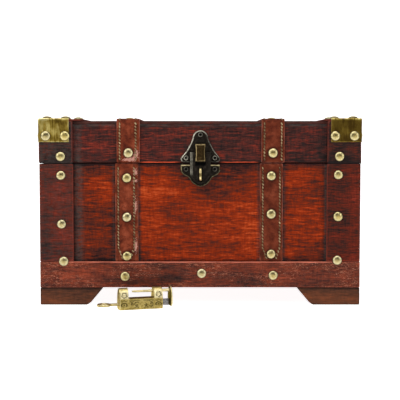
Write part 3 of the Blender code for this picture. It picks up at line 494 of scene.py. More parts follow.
def lock_brass(name, body, bright):
    """Cast brass, olive and dull, painted pale where its rubbed level is high: rubbed wear, and in places a
    painted highlight. Its hollows hold dark wax, and the same dark paints shade on the bolt plate's face that
    meets the case."""
    f = Finish(name)
    place, hollow_and_shade, rubbed_and_lit = f.place(), f.value("hollow_and_shade"), f.value("rubbed_and_lit")
    clouds = f.noise(place, 420.0, 5.0, 0.65)
    colour = f.mix(f.fit(clouds, 0.32, 0.70), body, bright)
    colour = f.mix(f.math("MULTIPLY", rubbed_and_lit, f.fit(clouds, 0.2, 0.6, 0.7, 1.0)), colour, (0.84, 0.73, 0.42))
    colour = f.mix(hollow_and_shade, colour, (0.022, 0.014, 0.003))
    pits = f.noise(place, 1300.0, 3.0)
    f.shader.inputs["Specular Tint"].default_value = (0.85, 0.72, 0.35, 1.0)
    return f.done(colour, f.fit(clouds, 0.3, 0.7, 0.50, 0.34), f.bump(pits, 0.07 * MM, 0.5), Metallic=1.0)


def steel_finish():
    """Grey spring steel with scratches along it."""
    f = Finish("spring_steel")
    place = f.place()
    lines = f.noise(f.stretch(place, (120, 1500, 1500)), detail=4.0)
    colour = f.ramp(lines, [(0.3, (0.085, 0.082, 0.078)), (0.7, (0.26, 0.25, 0.24))])
    return f.done(colour, f.fit(lines, 0.3, 0.7, 0.42, 0.28), f.bump(lines, 0.04 * MM, 0.5), Metallic=1.0)


def floor_finish():
    """A plain pale floor that is lit from below, as a light table is."""
    f = Finish("pale_floor")
    shade = f.noise(f.place(), 6.0, 2.0)
    f.shader.inputs["Emission Color"].default_value = (1.0, 1.0, 1.0, 1.0)
    f.shader.inputs["Emission Strength"].default_value = 0.94
    colour = f.ramp(shade, [(0.3, (0.72, 0.72, 0.72)), (0.7, (0.74, 0.74, 0.74))])
    return f.done(colour, 0.8, Specular_IOR_Level=0.0)


PANEL_WOOD = wood("panel_stain", [
    (0.05, (0.010, 0.006, 0.006)), (0.25, (0.045, 0.012, 0.009)), (0.42, (0.095, 0.0155, 0.006)),
    (0.58, (0.165, 0.0160, 0.003)), (0.76, (0.265, 0.026, 0.004)), (1.0, (0.43, 0.066, 0.015))],
    (0.24, 0.035, 0.018))
LID_WOOD = wood("lid_stain", [
    (0.05, (0.010, 0.007, 0.007)), (0.25, (0.030, 0.0115, 0.010)), (0.45, (0.058, 0.0135, 0.0105)),
    (0.65, (0.115, 0.0165, 0.010)), (0.92, (0.230, 0.028, 0.014))], (0.62, 0.080, 0.030), streak=1.35)
TRIM_WOOD = wood("trim_stain", [
    (0.05, (0.010, 0.007, 0.007)), (0.25, (0.032, 0.0130, 0.0105)), (0.45, (0.075, 0.0135, 0.0075)),
    (0.65, (0.130, 0.0170, 0.0090)), (0.92, (0.240, 0.0360, 0.0180))], (0.18, 0.034, 0.022), streak=0.95)
RAIL_WOOD = wood("rail_stain", [
    (0.05, (0.010, 0.007, 0.007)), (0.25, (0.032, 0.0130, 0.0105)), (0.45, (0.080, 0.0180, 0.0105)),
    (0.65, (0.150, 0.0280, 0.0130)), (0.92, (0.290, 0.0520, 0.0220))],
    (0.66, 0.190, 0.120), streak=0.9, flaked=1.0)
FOOT_WOOD = wood("foot_stain", [
    (0.10, (0.018, 0.010, 0.008)), (0.50, (0.072, 0.027, 0.0140)), (0.90, (0.160, 0.045, 0.0180))],
    (0.022, 0.012, 0.008), streak=0.75)
LEATHER = leather_finish()
THREAD = thread_finish()
PLATE_BRASS = plate_brass()
TACK_BRASS = tack_brass()
BRONZE = bronze("antique_bronze", (0.014, 0.0115, 0.009), (0.52, 0.49, 0.39))
GOLDEN_BRONZE = bronze("golden_bronze", (0.014, 0.0115, 0.009), (0.46, 0.38, 0.20))
BRIDGE_BRONZE = bronze("rubbed_bronze", (0.026, 0.016, 0.006), (0.42, 0.31, 0.145))
STAPLE_BRASS = bronze("staple_brass", (0.085, 0.058, 0.014), (0.80, 0.66, 0.32))
LOCK_BRASS = lock_brass("lock_brass", (0.235, 0.175, 0.042), (0.43, 0.335, 0.115))
STEEL = steel_finish()


# Wood

def box_edges(points, low, high):
    """How far each point of a box's skin is from the nearest edge: the second of its distances to the
    faces."""
    away = np.abs(np.concatenate([points - low, points - high], 1))
    return np.sort(away, 1)[:, 1]


def grain_axes(points, axis, seed):
    """Places counted along the grain, across it and through it, moved by a seeded amount, so that no two
    boards match."""
    order = [axis] + [other for other in (X, Z, Y) if other != axis]
    return points[:, order] + np.random.default_rng(seed).uniform(1, 9, 3)


def stained(points, axis, seed, edge, **levels):
    """A board's attributes: grain, distance from an edge, and three levels: how far the glaze is rubbed, less
    painted shade in places; wear; and dust. A level is a number, or a function of the points."""
    full = np.ones(len(points))
    spread = {name: (level(points) if callable(level) else level) * full for name, level in levels.items()}
    return {"grain": grain_axes(points, axis, seed), "edge": edge, **spread}


CASE_BOARD = {"material": PANEL_WOOD, "body": "trunk_case", "slot": "panel_wood"}
CASE_RAIL = {"material": RAIL_WOOD, "body": "trunk_case", "slot": "trim_wood"}
LID_BOARD = {"material": LID_WOOD, "body": "lid", "slot": "panel_wood"}


def plank(name, node, axis, seed, rub=0.45, wear=0.45, dust=0.0, spacing=WOOD_SPACING, drop=0.0, **kind):
    """A board that stands for a box-shaped solid. Drop lets it reach a little lower. Kind is its wood, its
    body and its slot; the slot is not used."""
    low, high = node_box(node)
    low[Z] -= drop
    others = [other for other in (X, Y, Z) if other != axis]
    skin = bar(rectangle(low[others], high[others]), axis, low[axis], high[axis],
               spacing=spacing, relief=WOOD_RELIEF, seed=seed, lengths=wave_lengths(axis))

    def paint(points):
        return stained(points, axis, seed, box_edges(points, low, high), rub=rub, wear=wear, dust=dust)
    make(name, [skin], replaces=[node], paint=paint, **kind)


def wave_lengths(axis):
    """Long waves along the grain, shorter ones across it."""
    return [160 * MM if other == axis else 35 * MM for other in (X, Y, Z)]


def parting(points):
    """1 along the line where the lid meets the case, falling to 0 within 1.5 mm, and only near the
    outside. Taken from the boards' rub level, it paints the shade of the gap there."""
    beside = np.minimum(RAIL_HIGH[X] - np.abs(points[:, X]),
                        BACK - MIDDLE_Y - np.abs(points[:, Y] - MIDDLE_Y))
    outside = 1 - smooth_step(beside, 4.0 * MM, 6.0 * MM)
    return outside * (1 - smooth_step(np.abs(points[:, Z] - (RIM + LID_BASE) / 2), 0.7 * MM, 1.5 * MM))


def glow(points, middle, spread, amount):
    """A soft round spot on the front, its middle and its spread as (x, z) in metres."""
    away = (points[:, [X, Z]] - middle) / spread
    return amount * np.exp(-np.sum(away ** 2, 1))


def spots(points, marks):
    """Several soft spots added up. A mark is a middle and a spread as (x, z) in mm, and an amount."""
    return sum(glow(points, np.array(middle) * MM, np.array(spread) * MM, amount)
               for middle, spread, amount in marks)


# Spots on the front panel: the bright ones are rubbed glaze, the dark ones round and below the hasp are its
# painted shade.
PANEL_SPOTS_AND_HASP_SHADE = (((40, 70), (26, 20), 0.12), ((-34, 105), (24, 22), 0.06), ((98, 75), (16, 30), 0.05),
               ((-45, 55), (12, 20), 0.05), ((36, 127), (22, 8), -0.22), ((23, 107), (12, 9), -0.12),
               ((0, 124), (21, 12), -0.42), ((-20, 95), (14, 16), -0.10), ((4, 104), (13, 8), -0.22))
LID_SPOTS = (((-95, 150), (14, 12), 0.03), ((58, 158), (20, 8), -0.06), ((-40, 140), (20, 6), 0.05))
RAIL_SPOTS = (((44, 22), (16, 8), -0.25), ((-100, 28), (26, 10), 0.07), ((-26, 26), (12, 6), -0.18))


def front_rub_and_shade(points):
    """Rubbed brightest between the straps, less beside them, and darker towards the rim. It darkens close
    beside the straps and posts, gathered glaze with painted shade, and painted shade darkens it just above
    the rail, at the rim, along the parting gap and round the hasp."""
    x, z = points[:, X] / MM, points[:, Z] / MM
    middle, left, right = window(x, -59, 58.5, 5), window(x, -120, -77, 9), window(x, 76, 120, 7)
    level = 0.19 + 0.41 * middle + 0.24 * left + 0.345 * right
    level *= 1 - 0.26 * smooth_step(z, 112, 133)
    level += spots(points, PANEL_SPOTS_AND_HASP_SHADE)
    # Painted shade where the panel meets the raised top edge of the rail.
    level -= 0.30 * (1 - smooth_step(z - RAIL_TOP / MM, 0.8, 4.0))
    # Painted shade at the rim under the lid, and along the parting gap.
    return level - 0.10 * smooth_step(z, 129.0, 132.0) - 0.5 * parting(points)


def front_dust(points):
    """Grey dust in a band beside the left post, and in thin lines beside the straps and the right post."""
    x = points[:, X] / MM
    post = window(x, -119.0, -108, 4) * 0.65 + window(x, 116.6, 119.2, 0.8) * 0.9
    strap_sides = [window(x, at, at + 3.4, 1.2) for at in (-82.6, -58.6, 53.6, 77.6)]
    return np.clip(0.05 + post + 0.4 * sum(strap_sides), 0, 1) * (1 - parting(points))


def rim_bare(points):
    """The panels' edges are a little worn, but the wear is left off at the rim, so that the painted shade
    under the lid stays dark there.
    """
    return 0.3 * (1 - parting(points))


def plain_rub(points):
    """A face that isn't seen from the front is rubbed brighter away from its edges."""
    across = points[:, X] if np.ptp(points[:, X]) > np.ptp(points[:, Y]) else points[:, Y] - MIDDLE_Y
    reach = np.abs(across).max()
    z = points[:, Z]
    inside = window(across, -reach + 25 * MM, reach - 25 * MM, 20 * MM)
    return 0.22 + 0.36 * inside * window(z, z.min(), z.max(), 20 * MM)


def lid_rub_and_shade(points):
    """The lid is darker than the case, darkest towards its right end and along its top edge, and painted
    shade darkens its lower edge along the parting gap.
    """
    x, z = points[:, X] / MM, points[:, Z] / MM
    level = 0.42 - 0.09 * smooth_step(x, 60, 125) + spots(points, LID_SPOTS)
    level -= 0.10 * window(np.abs(x), 108, 125, 5) + 0.06 * smooth_step(z, 160, 169)
    # Painted shade along the parting gap.
    return level - 0.5 * parting(points)


def lid_wear(points):
    """The lower front edge of the lid is worn bright in two stretches beside the hasp."""
    x = points[:, X] / MM
    bright = 1.0 * window(x, -58, -18, 6) + 0.75 * window(x, 18, 56, 6)
    low_down = 1 - smooth_step(points[:, Z], LID_EDGE - 4 * MM, LID_EDGE - 2 * MM)
    # Wear is left off the rest of the parting, so its painted shade stays dark.
    return 0.30 * (1 - parting(points)) * low_down + parting(points) * bright


def lid_dust(points):
    """Little dust on the lid's front, but a grey line of it along the top and a band beside the left
    strip."""
    line = smooth_step(points[:, Z], LID_EDGE - 2.0 * MM, LID_EDGE - 1.2 * MM)
    return 0.12 + 0.75 * line + 0.55 * window(points[:, X] / MM, -119, -109, 4) * (1 - line)


def rail_rub(points):
    """The front rail is rubbed evenly but for a dark patch on either side of its middle, a brighter one
    near its left end, and the dark end itself."""
    return 0.53 + spots(points, RAIL_SPOTS) - 0.12 * smooth_step(-points[:, X] / MM, 118, 140)


def rail_wear(points):
    """The rail's top edge is worn bright between the posts, its other edges hardly."""
    near_top = smooth_step(points[:, Z], RAIL_TOP - 6 * MM, RAIL_TOP - 3 * MM)
    return 0.08 + 0.57 * near_top * (np.abs(points[:, X]) < 124 * MM)


def top_rub(points):
    """The lid's top is dark along its front edge."""
    return 0.06 + 0.39 * smooth_step(points[:, Y], FRONT + 4 * MM, FRONT + 12 * MM)


def top_dust(points):
    """Dust greys the front edge of the lid's top board."""
    return 0.22 * (1 - smooth_step(points[:, Y], FRONT + 4 * MM, FRONT + 9 * MM)) + 0.13


LID_DROP = 0.5 * MM


def build_boards():
    """Case panels and rails, the lid's boards, and the boards inside."""
    plank("front_board", "front_panel", X, 11, front_rub_and_shade, rim_bare, front_dust, **CASE_BOARD)
    plank("back_board", "back_panel", X, 12, plain_rub, rim_bare, **CASE_BOARD)
    plank("left_board", "left_panel", Y, 13, plain_rub, rim_bare, **CASE_BOARD)
    plank("right_board", "right_panel", Y, 14, plain_rub, rim_bare, **CASE_BOARD)
    plank("floor_board", "bottom_board", X, 15, 0.34, spacing=4 * MM, **CASE_BOARD)
    plank("front_rail_strip", "front_rail", X, 21, rail_rub, rail_wear, 0.15, **CASE_RAIL)
    plank("back_rail_strip", "back_rail", X, 22, 0.58, 0.12, 0.15, **CASE_RAIL)
    plank("left_rail_strip", "left_rail", Y, 23, 0.58, 0.12, 0.15, **CASE_RAIL)
    plank("right_rail_strip", "right_rail", Y, 24, 0.58, 0.12, 0.15, **CASE_RAIL)
    plank("lid_front_edge", "lid_front_board", X, 31, lid_rub_and_shade, lid_wear, lid_dust, **LID_BOARD)
    plank("lid_back_edge", "lid_back_board", X, 32, 0.46, dust=0.15, drop=LID_DROP, **LID_BOARD)
    plank("lid_left_edge", "lid_left_board", Y, 33, 0.46, dust=0.15, drop=LID_DROP, **LID_BOARD)
    plank("lid_right_edge", "lid_right_board", Y, 34, 0.46, dust=0.15, drop=LID_DROP, **LID_BOARD)
    plank("lid_top_panel", "lid_top_board", X, 35, top_rub, 0.05, top_dust, **LID_BOARD)


def outer_corner(low, high):
    """Which way a corner piece faces along X and Y, 1 or -1 each, and where its outermost upright edge
    is."""
    side = np.where(((low + high) / 2)[:2] > (0, MIDDLE_Y), 1.0, -1.0)
    return side, np.where(side > 0, high[:2], low[:2])


def corner_loop(low, high, thickness):
    """The L-shaped outline of a piece that wraps a corner, seen from above, inside its solid's box."""
    side, outer = outer_corner(low, high)
    wing = np.where(side > 0, low[:2], high[:2])
    inner = outer - side * thickness
    return np.array([outer, (wing[0], outer[1]), (wing[0], inner[1]), inner, (inner[0], wing[1]),
                     (outer[0], wing[1])])


def chip_corner(points, corner, base):
    """Lift a strip's lowest points towards its outer corner, as if a chip had come off there."""
    near = np.clip(1 - np.abs(points[:, :2] - corner).max(1) / CHIP_REACH, 0, 1)
    points[:, Z] += CHIP_RISE * near * (points[:, Z] < base + 1.5 * ARRIS)


# Rub and dust of the four strips of the case and of the lid, in the order of the corners
CORNER_STRIPS = (
    ("case", "trunk_case", "corner_post", (0.46, 0.37, 0.42, 0.45), (0.30, 0.0, 0.1, 0.1), 41),
    ("lid", "lid", "lid_corner_strip", (0.15, 0.19, 0.22, 0.22), (0.45, 0.1, 0.2, 0.2), 51))
# How much lower two of the lid's strips reach than their solids
STRIP_DROP = {"lid_corner_strip_front_left": 1.1 * MM, "lid_corner_strip_front_right": 1.35 * MM}
STRIP_THICKNESS = RAIL_HIGH[Y] - RAIL_LOW[Y]
CHIP_REACH = 4.0 * MM
CHIP_RISE = 1.6 * MM


def strip_looks(points, low, high, corners, seed, rub, band, dust):
    """A corner strip's attributes. A point counts as on the front wing if it lies nearer to the front face
    than to the side face. Band is how much more or less the wood is rubbed 6 mm from the upright edge, and
    the grain runs up the strip and round the corner."""
    outer, wings = corners[0], corners[[1, 5]]
    on_front = np.abs(points[:, Y] - outer[1]) < np.abs(points[:, X] - outer[0])
    along = np.where(on_front, points[:, X], points[:, Y])
    near = np.where(on_front, outer[0], outer[1])
    far = np.where(on_front, wings[0][0], wings[1][1])
    edge = np.min([np.abs(along - near), np.abs(along - far),
                   points[:, Z] - low[Z], high[Z] - points[:, Z]], 0)
    beside = np.exp(-((np.abs(along - near) - 6 * MM) / (5 * MM)) ** 2)
    # Painted shade of the parting gap darkens the strip, and no wear is painted there.
    lit = rub + band * beside - 0.5 * parting(points)
    values = stained(points, Z, seed, edge, rub=lit, wear=0.4 * (1 - parting(points)), dust=dust)
    around = np.abs(points[:, X]) + np.abs(points[:, Y] - MIDDLE_Y)
    values["grain"] = np.stack([around, points[:, Z], 0 * around], 1) + seed
    return values


def corner_strips():
    """The strips that wrap the corners of the case and of the lid, their grain running round the corner."""
    for part, body, stem, rubs, dusts, seed in CORNER_STRIPS:
        for number, where in enumerate(CORNERS):
            node = f"{stem}_{where}"
            low, high = node_box(node)
            low[Z] -= STRIP_DROP.get(node, 0)
            corners = corner_loop(low, high, STRIP_THICKNESS)
            skin = bar(corners, Z, low[Z], high[Z], relief=WOOD_RELIEF, seed=seed + number,
                       lengths=wave_lengths(Z))
            if node == "lid_corner_strip_front_left":
                chip_corner(skin[0], corners[0], low[Z])
            band = -0.14 if node == "corner_post_front_left" else 0.12

            def paint(points):
                return strip_looks(points, low, high, corners, seed + number,
                                   rubs[number], band, dusts[number])
            make(f"{part}_corner_{where}", [skin], TRIM_WOOD, body, "trim_wood", [node], paint=paint)


FOOT_ARM = 14 * MM
FOOT_LOW_REACH = 44 * MM
FOOT_NICK_REACH = 47.5 * MM
FOOT_NICK_RISE = 2.4 * MM
FOOT_HIGH_REACH = 59 * MM
FOOT_ROUND = 1.0 * MM
FOOT_RELIEF = 0.12 * MM


def build_feet():
    """Bracket feet. The L-shaped outline rises from the floor while its arms grow: a nick, then a long
    slope. They are painted darker at the top, as the shade under the rail."""
    for number, where in enumerate(CORNERS):
        node = f"foot_{where}"
        low, high = node_box(node)
        side, outer = outer_corner(low, high)
        corners = corner_loop(low, high, FOOT_ARM)
        points, faces = bar(corners, Z, low[Z], high[Z], radius=FOOT_ROUND, spacing=1.6 * MM,
                            relief=FOOT_RELIEF, seed=61 + number, lengths=wave_lengths(X))
        reach = np.interp(points[:, Z] - low[Z], (0, FOOT_NICK_RISE, high[Z] - low[Z]),
                          (FOOT_LOW_REACH, FOOT_NICK_REACH, FOOT_HIGH_REACH))
        for axis in (X, Y):
            inward = (outer[axis] - points[:, axis]) * side[axis]
            stretched = FOOT_ARM + (inward - FOOT_ARM) * (reach - FOOT_ARM) / (FOOT_HIGH_REACH - FOOT_ARM)
            points[:, axis] = outer[axis] - side[axis] * np.where(inward > FOOT_ARM, stretched, inward)

        def paint(points):
            below = high[Z] - points[:, Z]
            # Painted shade under the rail: darker within a few mm of the top.
            rub = 0.20 + 0.18 * smooth_step(below, 0.5 * MM, 2.5 * MM) + 0.20 * smooth_step(below, 0, 9 * MM)
            edge = box_edges(points, low, high)
            return stained(points, X, 61 + number, edge, rub=rub, wear=0.8, dust=0.1)
        make(f"bracket_{where}", [(points, faces)], FOOT_WOOD, "trunk_case", "foot_wood", [node], paint=paint)


BATTEN_NOSE = 5 * MM


def build_battens():
    """The flat battens on the lid's top. Their inner corners are rounded: near each end the width is drawn
    in by the rest of a quarter circle."""
    for number, (where, side) in enumerate((("left", -1), ("right", 1))):
        node = f"top_batten_{where}"
        low, high = node_box(node)
        points, faces = bar(rectangle(low[[X, Z]], high[[X, Z]]), Y, low[Y], high[Y], radius=0.45 * MM,
                            relief=0.08 * MM, seed=71 + number, lengths=wave_lengths(Y))
        outer = high[X] if side > 0 else low[X]
        width = high[X] - low[X]
        from_end = np.minimum(points[:, Y] - low[Y], high[Y] - points[:, Y])
        end = np.clip(BATTEN_NOSE - from_end, 0, BATTEN_NOSE)
        drawn_in = BATTEN_NOSE - np.sqrt(BATTEN_NOSE ** 2 - end ** 2)
        points[:, X] = outer + (points[:, X] - outer) * (width - drawn_in) / width

        def paint(points):
            return stained(points, Y, 71 + number, box_edges(points, low, high), rub=0.42, wear=0.6, dust=0.3)
        make(f"lid_batten_{where}", [(points, faces)], TRIM_WOOD, "lid", "trim_wood", [node], paint=paint)


# Straps

STRAP_EDGE = 1.5 * MM
STRAP_SKIVE = 0.55 * MM
STRAP_THICKNESS = 2.0 * MM
STRAP_BEND = 0.5 * MM
ROW_DEPTH = 0.30 * MM
SIDEWAYS = np.array([1.0, 0, 0])


def strap_section(width, insets):
    """A strap's section: (across, out) points, flat at the back, its face falling off to thinner edges and
    sunk a little under each stitch row. Also which points are on the face."""
    face = np.linspace(-1, 1, 41) * (width / 2)
    from_edge = width / 2 - np.abs(face)
    out = STRAP_THICKNESS - STRAP_SKIVE * (1 - np.clip(from_edge / STRAP_EDGE, 0, 1)) ** 2
    out -= ROW_DEPTH * np.exp(-((from_edge - np.where(face < 0, *insets)) / (0.8 * MM)) ** 2)
    back = np.linspace(1, -1, 9) * (width / 2 - 0.3 * MM)
    across = np.concatenate([face, back])
    return np.stack([across, np.concatenate([out, 0 * back])], 1), np.arange(len(across)) < len(face)


def strap_path(node, wraps):
    """A strap's middle line on the wood with its outward directions: straight up a panel, or up the lid's
    front, over its top and down its back with a tight quarter turn at each edge."""
    low, high = node_box(node)
    x = (low[X] + high[X]) / 2
    if not wraps:
        front = (low[Y] + high[Y]) / 2 < MIDDLE_Y
        z = np.linspace(low[Z], high[Z], 96)
        y = np.full_like(z, high[Y] if front else low[Y])
        out = np.zeros((len(z), 3))
        out[:, Y] = -1 if front else 1
        return np.stack([np.full_like(z, x), y, z], 1), out
    bend = STRAP_BEND
    y_front, y_back = low[Y] + STRAP_THICKNESS, high[Y] - STRAP_THICKNESS
    z_top = high[Z] - STRAP_THICKNESS
    turn = np.linspace(0, math.pi / 2, 9)
    up = np.linspace(low[Z], z_top - bend, 44)[:-1]
    over = np.linspace(y_front + bend, y_back - bend, 200)[1:-1]
    y = np.concatenate([0 * up + y_front, y_front + bend - bend * np.cos(turn), over,
                        y_back - bend + bend * np.sin(turn), 0 * up + y_back])
    z = np.concatenate([up, z_top - bend + bend * np.sin(turn), 0 * over + z_top,
                        z_top - bend + bend * np.cos(turn), up[::-1]])
    out_y = np.concatenate([0 * up - 1, -np.cos(turn), 0 * over, np.sin(turn), 0 * up + 1])
    out_z = np.concatenate([0 * up, np.sin(turn), 0 * over + 1, np.cos(turn), 0 * up])
    return np.stack([0 * y + x, y, z], 1), np.stack([0 * y, out_y, out_z], 1)


# Where the straps are torn: a place in the picture, in pixels, then how wide and tall the tear is, in mm
TORN = ((136, 154, 3.2, 5.0), (131, 159.5, 4.5, 2.0), (134.5, 181, 3.5, 1.6), (135.5, 172, 2.2, 4.0),
        (135.5, 206, 1.6, 9.0), (135.5, 246, 1.8, 8.0), (125, 159.8, 3.0, 1.2))


def torn_places(points):
    """How torn a front strap is at each point: soft spots added up."""
    tears = sum(glow(points, at_front(px, py), (wide * MM, tall * MM), 1.0) for px, py, wide, tall in TORN)
    return np.clip(tears, 0, 1) * (points[:, Y] < FRONT + 4 * MM)


DIMPLE_DEPTH = 0.45 * MM
DIMPLE_RADIUS = 6.0 * MM
STRAP_RIPPLE = 0.16 * MM
STRAP_END = 1.0 * MM


def strap(name, node, wraps, body, seed, held, insets=STITCH_INSETS, dark=0.0):
    """A leather strap and its stitching. Held says how far along it its tacks are, and their places come
    back. The section is carried along the path, pressed in round each tack, rippled, and thinned and
    narrowed in a quarter circle at both ends."""
    low, high = node_box(node)
    width = high[X] - low[X]
    path, out = strap_path(node, wraps)
    gone = np.concatenate([[0], np.cumsum(np.linalg.norm(np.diff(path, axis=0), axis=1))])
    section, on_face = strap_section(width, insets)
    rings_across = np.repeat(section[None, :, 0], len(path), 0)
    rings_out = np.repeat(section[None, :, 1], len(path), 0)
    for place in held:
        away = np.hypot(gone[:, None] - place, rings_across)
        rings_out -= on_face * DIMPLE_DEPTH * np.exp(-(away / DIMPLE_RADIUS) ** 4)
    wander = np.stack([rings_across, np.repeat(gone[:, None], len(section), 1), 0 * rings_out], -1)
    rings_out -= on_face * STRAP_RIPPLE * (1 + ripple(wander, seed, (30 * MM, 14 * MM, 1.0))) / 2
    end = np.minimum(gone, gone[-1] - gone)
    thin = np.sqrt(np.clip(1 - (1 - np.clip(end / STRAP_END, 0, 1)) ** 2, 0.12, 1))
    rings_out *= thin[:, None]
    rings_across *= 1 - 0.04 * (1 - thin[:, None])
    rings_across *= 1 - 0.012 * (1 + np.sin(gone / (17 * MM) + seed)[:, None]) / 2
    rings = path[:, None] + rings_across[..., None] * SIDEWAYS + rings_out[..., None] * out[:, None]
    from_side = width / 2 - np.abs(section[:, 0])
    edge = np.minimum(from_side[None], end[:, None])
    dent = np.zeros_like(edge)
    for place in held:
        away = np.hypot(gone[:, None] - place, rings_across)
        dent += np.exp(-((away - TACK_RADIUS) / (1.6 * MM)) ** 2)
    row = np.where(section[:, 0] < 0, *insets)
    dent += 0.8 * np.exp(-((from_side - row) / (1.1 * MM)) ** 2) * on_face

    def paint(points):
        return {"edge": edge.ravel(), "dent": np.clip(dent, 0, 1).ravel(), "torn": torn_places(points),
                "dark": np.full(len(points), dark)}
    make(name, [closed_skin(rings)], LEATHER, body, "leather", [node], sharp=50, paint=paint)
    stitching(f"{name}_stitching", body, path, out, gone, width, seed, wraps, insets)
    middle = np.abs(section[:, 0]).argmin()
    nearest = [np.abs(gone - place).argmin() for place in held]
    return [(rings[index, middle], out[index]) for index in nearest]


# A stitch is a small spindle: places along it from 0 to 1, and how thick it is there
STITCH_STATIONS = np.array([0, 0.06, 0.25, 0.5, 0.75, 0.94, 1.0])
STITCH_SWELL = np.array([0.25, 0.62, 0.95, 1.0, 0.95, 0.62, 0.25])
STITCH_ARCH = 0.35 * MM
STITCH_RISE = 1.62 * MM
ROW_RUN_IN = 4.6 * MM
ROW_RUN_LENGTH = 13 * MM


def stitching(name, body, path, out, gone, width, seed, wraps, insets):
    """Slanted stitches in two rows, each a small spindle with a round section, laid along the strap and
    turned out of line. On a case strap the rows run in to the lowest tack."""
    rng = np.random.default_rng(seed)
    count = int((gone[-1] - 3 * MM) / STITCH_PITCH)
    place = 1.8 * MM + STITCH_PITCH * (0.5 + np.arange(count))
    angle = np.linspace(0, 2 * math.pi, 6, endpoint=False)
    skins = []
    for row, from_side in zip((-1, 1), insets):
        own = place + rng.normal(0, 0.12 * MM, count)
        centre = np.stack([np.interp(own, gone, path[:, axis]) for axis in (X, Y, Z)], 1)
        up = np.stack([np.interp(own, gone, out[:, axis]) for axis in (X, Y, Z)], 1)
        up /= np.linalg.norm(up, axis=1)[:, None]
        inset = np.full(count, from_side)
        if not wraps:
            inset += ROW_RUN_IN * np.clip(1 - own / ROW_RUN_LENGTH, 0, 1)
        centre = centre + SIDEWAYS * (row * (width / 2 - inset))[:, None] + up * STITCH_RISE
        slant = np.radians(rng.normal(26 if from_side < 3 * MM else 42, 6, count))[:, None]
        along = np.cross(SIDEWAYS, up) * np.cos(slant) + SIDEWAYS * np.sin(slant)
        across = np.cross(up, along)
        size = STITCH_RADIUS * rng.uniform(0.85, 1.15, count)
        reach = (STITCH_STATIONS - 0.5) * STITCH_LENGTH
        radius = size[:, None, None] * STITCH_SWELL[None, :, None]
        arch = (STITCH_SWELL - 1) * STITCH_ARCH
        rings = (centre[:, None, None] + reach[None, :, None, None] * along[:, None, None]
                 + (arch[None, :, None] + radius * np.sin(angle))[..., None] * up[:, None, None]
                 + (radius * np.cos(angle))[..., None] * across[:, None, None])
        skins += [closed_skin(one) for one in rings]
    make(name, skins, THREAD, body, "leather", sharp=80)


# Tacks

def tack_profile():
    """A tack head's section: a low dome, a quarter of an ellipse with a flatter crown, over a short upright
    rim."""
    turn = np.linspace(0, math.pi / 2, 9)
    radius = np.concatenate([[0.2 * MM, TACK_RADIUS * 0.97], TACK_RADIUS * np.cos(turn)])
    height = np.concatenate([[-0.15 * MM, -0.15 * MM], TACK_HEIGHT * np.sin(turn) ** 1.15])
    radius[-1] = 0.12 * MM
    return np.stack([radius, height], 1)


TACK_SIDES = 26


def tacks(name, places, body, gold=0.65, scale=1.0):
    """Tack heads at (centre, outward direction) places, each a little tilted and dented its own way."""
    rng = np.random.default_rng(len(places) * 7 + len(name))
    skins, rims = [], []
    profile = tack_profile()
    for centre, way in places:
        way = np.asarray(way, float) + rng.normal(0, 0.035, 3)
        lobes, phase = rng.integers(2, 4), rng.uniform(0, 6)
        size = scale * rng.uniform(0.97, 1.03)

        def dented(radius, angle):
            return 1 + 0.012 * np.sin(lobes * angle + phase) * (radius > 0.3 * MM)
        skins.append(turned(profile * (size, 0.96), centre, way, TACK_SIDES, dented))
        rims.append(np.repeat(profile[:, 0] / TACK_RADIUS, TACK_SIDES))
    rim = np.concatenate(rims)
    yellow = np.repeat(np.clip(gold + rng.normal(0, 0.15, len(places)), 0, 1), len(rim) // len(places))
    make(name, skins, TACK_BRASS, body, "brass", sharp=40, paint=lambda points: {"rim": rim, "gold": yellow})


# Tacks of the left and the right front strap as heights, and of a lid strap as distances along it, in mm
CASE_STRAP_TACKS = ((119.4, 83.0, 46.1), (121.1, 85.7, 47.6))
LID_STRAP_TACKS = (9, 62, 139, 216, 269)
# The left and the right strap: how far in their stitch rows are, and how dark they are on case and lid
STRAP_ROWS = (LOOSE_INSETS, STITCH_INSETS)
CASE_STRAP_DARK = (0.05, 0.36)
LID_STRAP_DARK = (0.15, 0.40)


def build_straps():
    """Straps with their stitching, and the tacks on them."""
    case_front, case_back, lid_all = [], [], []
    foot = RAIL_TOP + 0.3 * MM
    over = [place * MM for place in LID_STRAP_TACKS]
    for number, where in enumerate(("left", "right")):
        up = [height * MM - foot for height in CASE_STRAP_TACKS[number]]
        rows = STRAP_ROWS[number]
        case_front += strap(f"front_strap_{where}", f"case_strap_front_{where}", False, "trunk_case",
                            81 + number, up, rows, CASE_STRAP_DARK[number])
        case_back += strap(f"back_strap_{where}", f"case_strap_back_{where}", False, "trunk_case",
                           83 + number, up)
        lid_all += strap(f"lid_band_{where}", f"lid_strap_{where}", True, "lid",
                         85 + number, over, rows, LID_STRAP_DARK[number])
    tacks("strap_tacks_front", case_front, "trunk_case", gold=0.8)
    tacks("strap_tacks_back", case_back, "trunk_case", gold=0.8)
    tacks("strap_tacks_lid", lid_all, "lid", gold=0.9)


# Where the picture's middle and the floor lie in it, in pixels, and what a pixel is at the front face
PICTURE_MIDDLE = 200
PICTURE_FLOOR = 305.6
PIXEL = 0.9346 * MM
# The front's tacks in the picture: three on each post, then three on the rail
FRONT_TACKS = ((60.9, 175.3), (61.3, 224.2), (63.2, 261.6), (338.2, 174.8), (338.2, 216.6), (337.7, 260.5),
               (124.7, 276.8), (201.6, 273.8), (273.4, 275.8))
# The sides' tacks in mm: how far from the middle and how high they are, on the posts and on the rail
SIDE_POST_TACKS = ((-82, 82), (121.5, 78.0, 45.8))
SIDE_RAIL_TACKS = ((-55, 0, 55), (28.5,))


def at_front(px, py):
    """A place on the front face, in metres, from where it shows in the picture."""
    return (px - PICTURE_MIDDLE) * PIXEL, (PICTURE_FLOOR - py) * PIXEL


